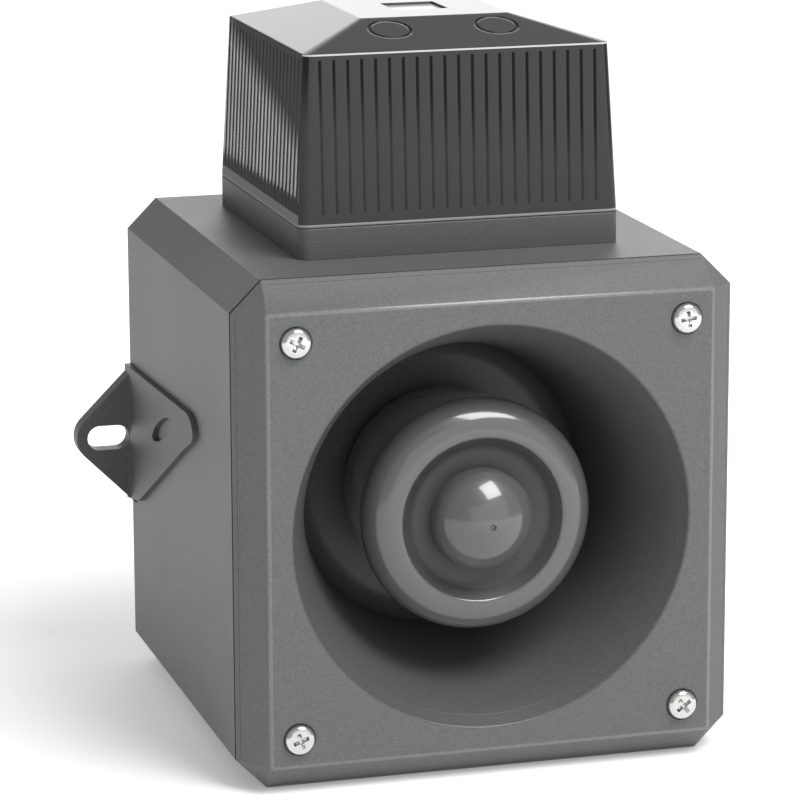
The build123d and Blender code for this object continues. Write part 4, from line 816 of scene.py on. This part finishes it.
def lens_faces(tree):
    """Masks of the lens's faces: left and right sides, groove walls, front and back, level ones."""
    normal = tree.nodes.new("ShaderNodeNewGeometry").outputs["True Normal"]
    look = add(tree, "SeparateXYZ", {"Vector": normal}).outputs
    sideways = maths(tree, "ABSOLUTE", look["X"])
    forwards = maths(tree, "ABSOLUTE", look["Y"])
    off_side = maths(tree, "LESS_THAN", sideways, SQUARE_ON)
    off_front = maths(tree, "LESS_THAN", forwards, SQUARE_ON)
    off_roof = maths(tree, "LESS_THAN", look["Z"], ROOF_LOOK)
    return {
        "side": maths(tree, "GREATER_THAN", sideways, SQUARE_ON),
        "groove": both(tree, both(tree, off_side, off_front), off_roof),
        "front": maths(tree, "GREATER_THAN", forwards, FRONT_LOOK),
        "level": maths(tree, "GREATER_THAN", look["Z"], LEVEL_LOOK),
    }


def groove_shade_lines(tree, spot):
    """The front grooves' painted dark shade lines, which fade downwards and last longer to the right."""
    rise = remap(tree, spot["Z"], lens_low.z, lens_low.z + EAVE_RISE * MM)
    leant = maths(tree, "ADD", maths(tree, "MULTIPLY", spot["X"], LINE_LEAN), rise)
    return remap(tree, leant, *LINE_FADE)


def recess_floor(tree, spot, level):
    """The floor of the square recess in the roof, which gets a painted reflection."""
    sunk = maths(tree, "LESS_THAN", spot["Z"], lens_high.z - RECESS_DROP * MM)
    risen = maths(tree, "GREATER_THAN", spot["Z"], lens_low.z + (EAVE_RISE + ROOF_RISE) * MM)
    return both(tree, both(tree, level, sunk), risen)


def lens_tone(tree, colour, spot, faces, streaks):
    """The lens's colour with painted reflection streaks, painted groove shade lines, painted highlight edges
    and a painted recess reflection.
    """
    height = spot["Z"]
    # Pale bands at the eave, along the sides' lower rim and at the foot are painted highlights
    eave = near(tree, height, lens_low.z + EAVE_RISE * MM, EAVE_LINE_HALF * MM)
    rim = near(tree, height, lens_low.z + RIM_RISE * MM, RIM_HALF * MM)
    foot = near(tree, height, lens_low.z + FOOT_LINE_RISE * MM, FOOT_LINE_HALF * MM)
    # Pale streaks on the sides are painted reflections
    tone = blend(tree, (*colour, 1), STREAK_REFLECTION_TONE, both(tree, streaks["Streak"], faces["side"]))
    # Dark lines in the grooves are painted shade
    tone = blend(tree, tone, GROOVE_SHADE_TONE, both(tree, faces["groove"], groove_shade_lines(tree, spot)))
    tone = blend(tree, tone, EAVE_HIGHLIGHT_TONE, both(tree, eave, faces["front"]))
    tone = blend(tree, tone, RIM_HIGHLIGHT_TONE, both(tree, rim, faces["side"]))
    # The recess floor's pale tone is a painted reflection
    tone = blend(tree, tone, RECESS_REFLECTION_TONE, recess_floor(tree, spot, faces["level"]))
    return blend(tree, tone, FOOT_HIGHLIGHT_TONE, foot)


def lens_material(colour):
    """Tinted glossy lens: painted reflection streaks on its left and right sides, thin dark painted shade
    lines on the front.
    """
    material, tree, shader, place = new_material("Lens gloss")
    spot = add(tree, "SeparateXYZ", {"Vector": place}).outputs
    faces = lens_faces(tree)
    across = maths(tree, "SUBTRACT", spot["Y"], (lens_low.y + lens_high.y) / 2)
    sides = {
        "Place": place,
        "Across": across,
        "Pitch": sizes().flute_pitch,
        "Foot": lens_low.z + STREAK_FOOT * MM,
        "Head": lens_high.z - STREAK_HEAD * MM,
    }
    streaks = use_group(tree, "Lens painted reflection streaks", reflection_streaks_group, sides)
    dome = both(tree, streaks["Dome"], faces["side"])
    relief = {"Distance": FLUTE_HEIGHT, "Height": dome, "Normal": rounded_edges(tree, LENS_ROUNDING)}
    plain_side = maths(tree, "SUBTRACT", faces["side"], both(tree, streaks["Zone"], faces["side"]))
    put(tree, lens_tone(tree, colour, spot, faces, streaks), shader["Base Color"])
    put(tree, add(tree, "Bump", relief).outputs["Normal"], shader["Normal"])
    put(tree, remap(tree, plain_side, 0.0, 1.0, LENS_GLOSS, LENS_DULL), shader["Roughness"])
    shader["IOR"].default_value = LENS_IOR
    return material


def housing_finish(look):
    """Grained housing with a painted shadow in the seam behind the cover."""
    material = moulded("Housing grain", look.housing, roughness=0.5, depth=0.4)
    paint_seam_shadow(material)
    return material


def horn_finish(look):
    """Satin plastic of the flare, with a coarser grain."""
    return moulded("Horn satin", look.horn, roughness=0.36, depth=0.15, share=HORN_GRAIN_SHARE)


def glossy_finish(name, look, depth):
    """Lacquered plastic of the bell and of its nose."""
    return moulded(name, look.bell, roughness=0.3, depth=depth, spread=GLOSSY_MOTTLE, coat=1.0)


def edge_highlight_finish(look):
    """Paler and smoother plastic along the edge of the cover's face, a painted highlight of its rounded
    edge.
    """
    paler = [part * RUBBED_AND_HIGHLIGHT_GAIN for part in look.cover]
    return moulded("Cover edge highlight", paler, roughness=0.25, depth=0.1)


def outer_finishes(look):
    """The finishes that show from outside, by the slot that wears them."""
    return {
        "housing_plastic": housing_finish(look),
        "cover_plastic": moulded("Cover grain", look.cover, roughness=0.62, depth=0.4),
        "horn_plastic": horn_finish(look),
        "bell_plastic": glossy_finish("Bell gloss", look, depth=0.02),
        "nose_plastic": glossy_finish("Nose gloss", look, depth=0.01),
        "lug_plastic": moulded("Lug grain", look.lug, roughness=0.5, depth=0.5),
        "beacon_base_plastic": moulded("Beacon base grain", look.base, roughness=0.5, depth=0.5),
        "lens_plastic": lens_material(look.lens),
    }


def dress(obj, material):
    """Give an object this one material."""
    obj.data.materials.clear()
    obj.data.materials.append(material)


def named(name):
    """A material made earlier by the finishes operator."""
    return bpy.data.materials[name]


class SOUNDER_OT_finishes(Operator):
    """Make the finishes and put one on every CAD node"""

    bl_idname = "sounder.finishes"
    bl_label = "Finishes"

    def execute(self, context):
        look = finishes()
        made = outer_finishes(look)
        for slot, name, colour, roughness, depth in PLASTICS:
            made[slot] = moulded(name, colour, roughness, depth)
        for slot, name, colour, roughness in METALS:
            made[slot] = metal(name, colour, roughness)
        # The cover's pale edge band is a painted highlight
        edge_highlight_finish(look)
        # The trough's darker finish paints the shade of its recess
        moulded("Trough matt painted shade", look.trough, roughness=0.5, depth=0.1)
        for part in frame["record"]["subparts"]:
            dress(frame["nodes"][part["node"]], made[part["material_slot"]])
        return {"FINISHED"}


# Front cover


def slope_cut(inwards):
    """The corner cut of the slope, this far inside the cover's side."""
    return SIDE_CUT + (FACE_CUT - SIDE_CUT) * inwards / SLOPE_INSET


def slope_ring(bm, inwards):
    """A ring on the slope, this far inside the cover's side."""
    return square_ring(bm, inwards, slope_cut(inwards), COVER_DEPTH * (1 - inwards / SLOPE_INSET))


def cover_outside(bm):
    """The cover's rings from the seam over the slope to the edge of the face."""
    rings = [
        square_ring(bm, SEAM_BACK_INSET, SIDE_CUT, COVER_DEPTH),
        square_ring(bm, SEAM_SIDE_INSET, SIDE_CUT, COVER_DEPTH - SEAM_ROUNDING),
        slope_ring(bm, SLOPE_START),
        slope_ring(bm, SLOPE_END),
        square_ring(bm, EDGE_INSET, slope_cut(EDGE_CUT_INSET), EDGE_DEPTH),
        square_ring(bm, *EDGE_LAST),
        square_ring(bm, *FACE_START),
    ]
    join_rings(bm, rings)
    return rings


def cover_seats(bm):
    """The four screw seats with the posts behind them."""
    seats = []
    for x, z in square_places(SCREW_REACH):
        rings = [ring_of(bm, x, z, radius, depth, SEAT_STEPS) for radius, depth in SEAT_RINGS]
        join_rings(bm, rings)
        seats.append(rings)
    return seats


def cover_inside(bm, seam_ring):
    """The spigot that enters the housing and the cover's back."""
    inner_inset = SPIGOT_INSET + SPIGOT_WALL
    outer_cut = SIDE_CUT - SPIGOT_INSET * CUT_LOSS
    inner_cut = SIDE_CUT - inner_inset * CUT_LOSS
    rings = [
        seam_ring,
        square_ring(bm, SPIGOT_INSET, outer_cut, COVER_DEPTH),
        square_ring(bm, SPIGOT_INSET, outer_cut, SPIGOT_BACK),
        square_ring(bm, inner_inset, inner_cut, SPIGOT_BACK),
        square_ring(bm, inner_inset, inner_cut, COVER_WALL),
    ]
    join_rings(bm, rings)
    return rings


def fill_between(bm, rings, normal):
    """A flat face with holes, between an outer ring and the rings inside it."""
    edges = []
    for ring in rings:
        edges += ring_edges(bm, ring)
    bmesh.ops.triangle_fill(bm, edges=edges, use_beauty=True, normal=normal)


def cover_finish(cover):
    """Keep the flat faces flat, darken the mouth's wall and paint a highlight along the edge of the face."""
    for face in cover.data.polygons:
        if abs(face.normal.y) > FLAT_LOOK:
            face.use_smooth = False
    dress(cover, named("Cover grain"))
    cover.data.materials.append(named("Horn satin"))
    cover.data.materials.append(named("Cover edge highlight"))
    edge_near, edge_far = EDGE_HIGHLIGHT_BAND
    flattest, steepest = EDGE_LOOK
    for face in cover.data.polygons:
        middle = face.center
        radius = math.hypot(middle.x, middle.z - axis_z) / MM
        reach = max(abs(middle.x), abs(middle.z - axis_z)) / MM
        in_mouth = radius < MOUTH_DARK_RADIUS and face.normal.y < MOUTH_LOOK and len(face.vertices) == 4
        in_highlight_band = COVER_HALF - edge_far < reach < COVER_HALF - edge_near
        if in_mouth:
            face.material_index = 1
        # The pale band along the face's edge is a painted highlight
        elif in_highlight_band and flattest < face.normal.y < steepest:
            face.material_index = 2


class SOUNDER_OT_cover(Operator):
    """Build the front cover with rounded edges, the horn's mouth, screw seats and spigot"""

    bl_idname = "sounder.cover"
    bl_label = "Front cover"

    def execute(self, context):
        bm = bmesh.new()
        outside = cover_outside(bm)
        mouth = [ring_of(bm, 0, 0, radius, depth, sizes().turn_steps) for radius, depth in MOUTH_RINGS]
        join_rings(bm, mouth)
        seats = cover_seats(bm)
        fill_between(bm, [outside[-1], mouth[0], *(seat[0] for seat in seats)], (0, -1, 0))
        inside = cover_inside(bm, outside[0])
        fill_between(bm, [inside[-1], mouth[-1], *(seat[-1] for seat in seats)], (0, 1, 0))
        cover = mesh_object("front_cover_moulded", bm, COVER_SMOOTH_ANGLE)
        cover_finish(cover)
        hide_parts("front_cover")
        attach(cover, "casing")
        return {"FINISHED"}


# Horn


class SOUNDER_OT_flare(Operator):
    """Turn the horn's flare with its flange, floor and throat tube"""

    bl_idname = "sounder.flare"
    bl_label = "Horn flare"

    def execute(self, context):
        bm = bmesh.new()
        turn_profile(bm, FLARE_PROFILE, closed=True)
        for x, z in square_places(FLANGE_POSTS):
            post(bm, x, z, POST_RADIUS, FLANGE_POST_SPAN, POST_STEPS)
        for x, z in square_places(DRIVER_POSTS):
            post(bm, x, z, POST_RADIUS, DRIVER_POST_SPAN, POST_STEPS)
        post(bm, 0.0, 0.0, HUB_RADIUS, HUB_SPAN, HUB_STEPS)
        for index in range(VANES):
            vane(bm, math.radians(90 + 360 / VANES * index), HUB_SPAN)
        flare = mesh_object("horn_flare_turned", bm)
        dress(flare, named("Horn satin"))
        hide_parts("horn_flare")
        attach(flare, "casing")
        return {"FINISHED"}


class SOUNDER_OT_bell(Operator):
    """Turn the re-entrant bell"""

    bl_idname = "sounder.bell"
    bl_label = "Horn bell"

    def execute(self, context):
        bm = bmesh.new()
        turn_profile(bm, BELL_PROFILE, closed=True)
        bell = mesh_object("horn_bell_turned", bm)
        dress(bell, named("Bell gloss"))
        bell.data.materials.append(named("Trough matt painted shade"))
        for face in bell.data.polygons:
            middle = face.center
            radius = math.hypot(middle.x, middle.z - axis_z) / MM
            # Faces in the trough get the darker finish that paints its shade
            if radius < TROUGH_RADIUS and middle.y > front_y + TROUGH_DEPTH * MM:
                face.material_index = 1
        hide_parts("horn_bell")
        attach(bell, "casing")
        return {"FINISHED"}


def nose_profile(dimple):
    """The nose cap's profile from the dimple in its tip over the ball to its hollow back."""
    start = math.asin(dimple / NOSE_BALL)
    end = math.asin(NOSE_RIM / NOSE_BALL)
    ball = []
    for index in range(NOSE_ARCS + 1):
        lean = start + (end - start) * index / NOSE_ARCS
        ball.append((NOSE_BALL * math.sin(lean), NOSE_TIP + NOSE_BALL * (1 - math.cos(lean)), 0, 0))
    return [
        (0.0, NOSE_TIP + dimple, 0, 0),
        (dimple * DIMPLE_SHARE, NOSE_TIP + dimple * DIMPLE_SHARE, 0, 0),
        *ball,
        *NOSE_BACK,
    ]


class SOUNDER_OT_nose(Operator):
    """Turn the nose cap with the dimple at its tip"""

    bl_idname = "sounder.nose"
    bl_label = "Nose cap"

    def execute(self, context):
        bm = bmesh.new()
        turn_profile(bm, nose_profile(sizes().nose_dimple / MM))
        nose = mesh_object("nose_cap_turned", bm, NOSE_SMOOTH_ANGLE)
        dress(nose, named("Nose gloss"))
        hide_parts("nose_cap")
        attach(nose, "casing")
        return {"FINISHED"}


# Cover screws


def screw_body(bm):
    """The screw's turned head and shank, open at the top of the head."""
    corners = [bm.verts.new((radius, 0, height)) for radius, height in SCREW_PROFILE]
    for start, end in zip(corners, corners[1:]):
        bm.edges.new((start, end))
    spin_round(bm, (0, 0, 0), (0, 0, 1), SCREW_STEPS)
    bmesh.ops.remove_doubles(bm, verts=bm.verts, dist=SCREW_MERGE)
    return [edge for edge in bm.edges if len(edge.link_faces) == 1]


def cross_loop(bm, reach, half, height):
    """The outline of the cross recess at one height."""
    arm = [(half, half), (half, reach), (-half, reach)]
    points = []
    for quarter in range(4):
        turned = Matrix.Rotation(math.radians(90 * quarter), 3, "Z")
        points += [turned @ Vector((x, y, height)) for x, y in arm]
    return [bm.verts.new(point) for point in points]


def cross_recess(bm, rim):
    """The tapered cross recess, joined to the open top of the head."""
    loops = [cross_loop(bm, *level) for level in SCREW_RECESS]
    mouth = ring_edges(bm, loops[0])
    bmesh.ops.triangle_fill(bm, edges=rim + mouth, use_beauty=True, normal=(0, 0, 1))
    join_rings(bm, loops)
    bm.faces.new(loops[-1])


def pan_screw(bm, x, z, turn):
    """A pan head screw with a cross recess in its seat, its head to the front."""
    made = bmesh.new()
    cross_recess(made, screw_body(made))
    bmesh.ops.recalc_face_normals(made, faces=made.faces)
    stand = (
        Matrix.Translation(place_at(x, SCREW_SEAT, z))
        @ Matrix.Rotation(math.radians(90), 4, "X")
        @ Matrix.Rotation(math.radians(turn), 4, "Z")
        @ Matrix.Scale(MM, 4)
    )
    bmesh.ops.transform(made, matrix=stand, verts=made.verts)
    mesh = bpy.data.meshes.new("screw")
    made.to_mesh(mesh)
    made.free()
    bm.from_mesh(mesh)
    bpy.data.meshes.remove(mesh)


class SOUNDER_OT_screws(Operator):
    """Make the four bright cover screws, each turned its own way"""

    bl_idname = "sounder.screws"
    bl_label = "Cover screws"

    def execute(self, context):
        bm = bmesh.new()
        for (x, z), turn in zip(square_places(SCREW_REACH), SCREW_TURNS):
            pan_screw(bm, x, z, turn)
        screws = mesh_object("cover_screws_turned", bm, SCREW_SMOOTH_ANGLE)
        dress(screws, named("Bright screw"))
        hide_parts("cover_screws")
        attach(screws, "casing")
        return {"FINISHED"}


# Studio


def floor_material():
    """Pale matt floor that glows a little more away from the part."""
    material, tree, shader, place = new_material("Studio floor")
    reach = tree.nodes.new("ShaderNodeVectorMath")
    reach.operation = "DISTANCE"
    put(tree, place, reach.inputs[0])
    reach.inputs[1].default_value = GLOW_MIDDLE
    glow = remap(tree, reach.outputs["Value"], *GLOW_REACH, *GLOW_STRENGTH)
    put(tree, glow, shader["Emission Strength"])
    shader["Base Color"].default_value = FLOOR_TONE
    shader["Roughness"].default_value = FLOOR_ROUGHNESS
    shader["Emission Color"].default_value = (1, 1, 1, 1)
    return material


def lay_floor():
    """The studio floor."""
    bm = bmesh.new()
    bmesh.ops.create_grid(bm, x_segments=1, y_segments=1, size=sizes().floor_half)
    floor = mesh_object("studio_floor", bm)
    dress(floor, floor_material())


def fill_air(scene):
    """Even grey light from all round."""
    world = bpy.data.worlds.new("Studio air")
    world.use_nodes = True
    background = world.node_tree.nodes["Background"].inputs
    background["Color"].default_value = AIR_TONE
    background["Strength"].default_value = AIR_STRENGTH
    scene.world = world


def hang_lamp(scene, name, place, width, height, power):
    """One soft lamp that looks at the part."""
    lamp = bpy.data.lights.new(name, "AREA")
    lamp.shape = "RECTANGLE"
    lamp.size = width
    lamp.size_y = height
    lamp.energy = power
    light = bpy.data.objects.new(name, lamp)
    light.location = place
    light.rotation_euler = (Vector(LAMP_AIM) - Vector(place)).to_track_quat("-Z", "Y").to_euler()
    scene.collection.objects.link(light)


def set_camera(scene):
    """The camera at the photo's viewing angle."""
    flat = math.cos(CAMERA_PITCH)
    forward = Vector((math.sin(CAMERA_YAW) * flat, math.cos(CAMERA_YAW) * flat, -math.sin(CAMERA_PITCH)))
    level = Vector((math.cos(CAMERA_YAW), -math.sin(CAMERA_YAW), 0))
    down = forward.cross(level)
    right = math.cos(CAMERA_ROLL) * level + math.sin(CAMERA_ROLL) * down
    up = math.sin(CAMERA_ROLL) * level - math.cos(CAMERA_ROLL) * down
    lens = bpy.data.cameras.new("Photo camera")
    lens.lens = CAMERA_LENS_MM
    lens.sensor_width = CAMERA_SENSOR_MM
    lens.clip_start, lens.clip_end = CAMERA_CLIP
    camera = bpy.data.objects.new("Photo camera", lens)
    stand = Matrix((right, up, -forward)).transposed().to_4x4()
    stand.translation = Vector(CAMERA_PLACE)
    camera.matrix_world = stand
    scene.collection.objects.link(camera)
    scene.camera = camera


class SOUNDER_OT_stage(Operator):
    """Lay the pale floor, hang the soft lights and set up the camera"""

    bl_idname = "sounder.stage"
    bl_label = "Studio"

    def execute(self, context):
        scene = context.scene
        scene.view_settings.view_transform = "Standard"
        lay_floor()
        fill_air(scene)
        for name, place, width, height, power in LAMPS:
            hang_lamp(scene, name, place, width, height, power)
        set_camera(scene)
        return {"FINISHED"}


class SOUNDER_PT_panel(Panel):
    """Steps of the sounder's dressing"""

    bl_idname = "SOUNDER_PT_panel"
    bl_label = "Sounder"
    bl_space_type = "VIEW_3D"
    bl_region_type = "UI"
    bl_category = "Sounder"

    def draw(self, context):
        for step in STEPS:
            self.layout.operator(step.bl_idname)


STEPS = (
    SOUNDER_OT_finishes,
    SOUNDER_OT_cover,
    SOUNDER_OT_flare,
    SOUNDER_OT_bell,
    SOUNDER_OT_nose,
    SOUNDER_OT_screws,
    SOUNDER_OT_stage,
)
CLASSES = (SounderSizes, SounderFinishes, *STEPS, SOUNDER_PT_panel)


def register():
    """Register the classes and hang the settings on the scene."""
    for cls in CLASSES:
        bpy.utils.register_class(cls)
    bpy.types.Scene.sounder_sizes = PointerProperty(type=SounderSizes)
    bpy.types.Scene.sounder_finishes = PointerProperty(type=SounderFinishes)


def unregister():
    """Take the settings and the classes away again."""
    del bpy.types.Scene.sounder_finishes
    del bpy.types.Scene.sounder_sizes
    for cls in reversed(CLASSES):
        bpy.utils.unregister_class(cls)


def main():
    """Run every step in order."""
    register()
    bpy.ops.sounder.finishes()
    bpy.ops.sounder.cover()
    bpy.ops.sounder.flare()
    bpy.ops.sounder.bell()
    bpy.ops.sounder.nose()
    bpy.ops.sounder.screws()
    bpy.ops.sounder.stage()


if __name__ == "__main__":
    main()
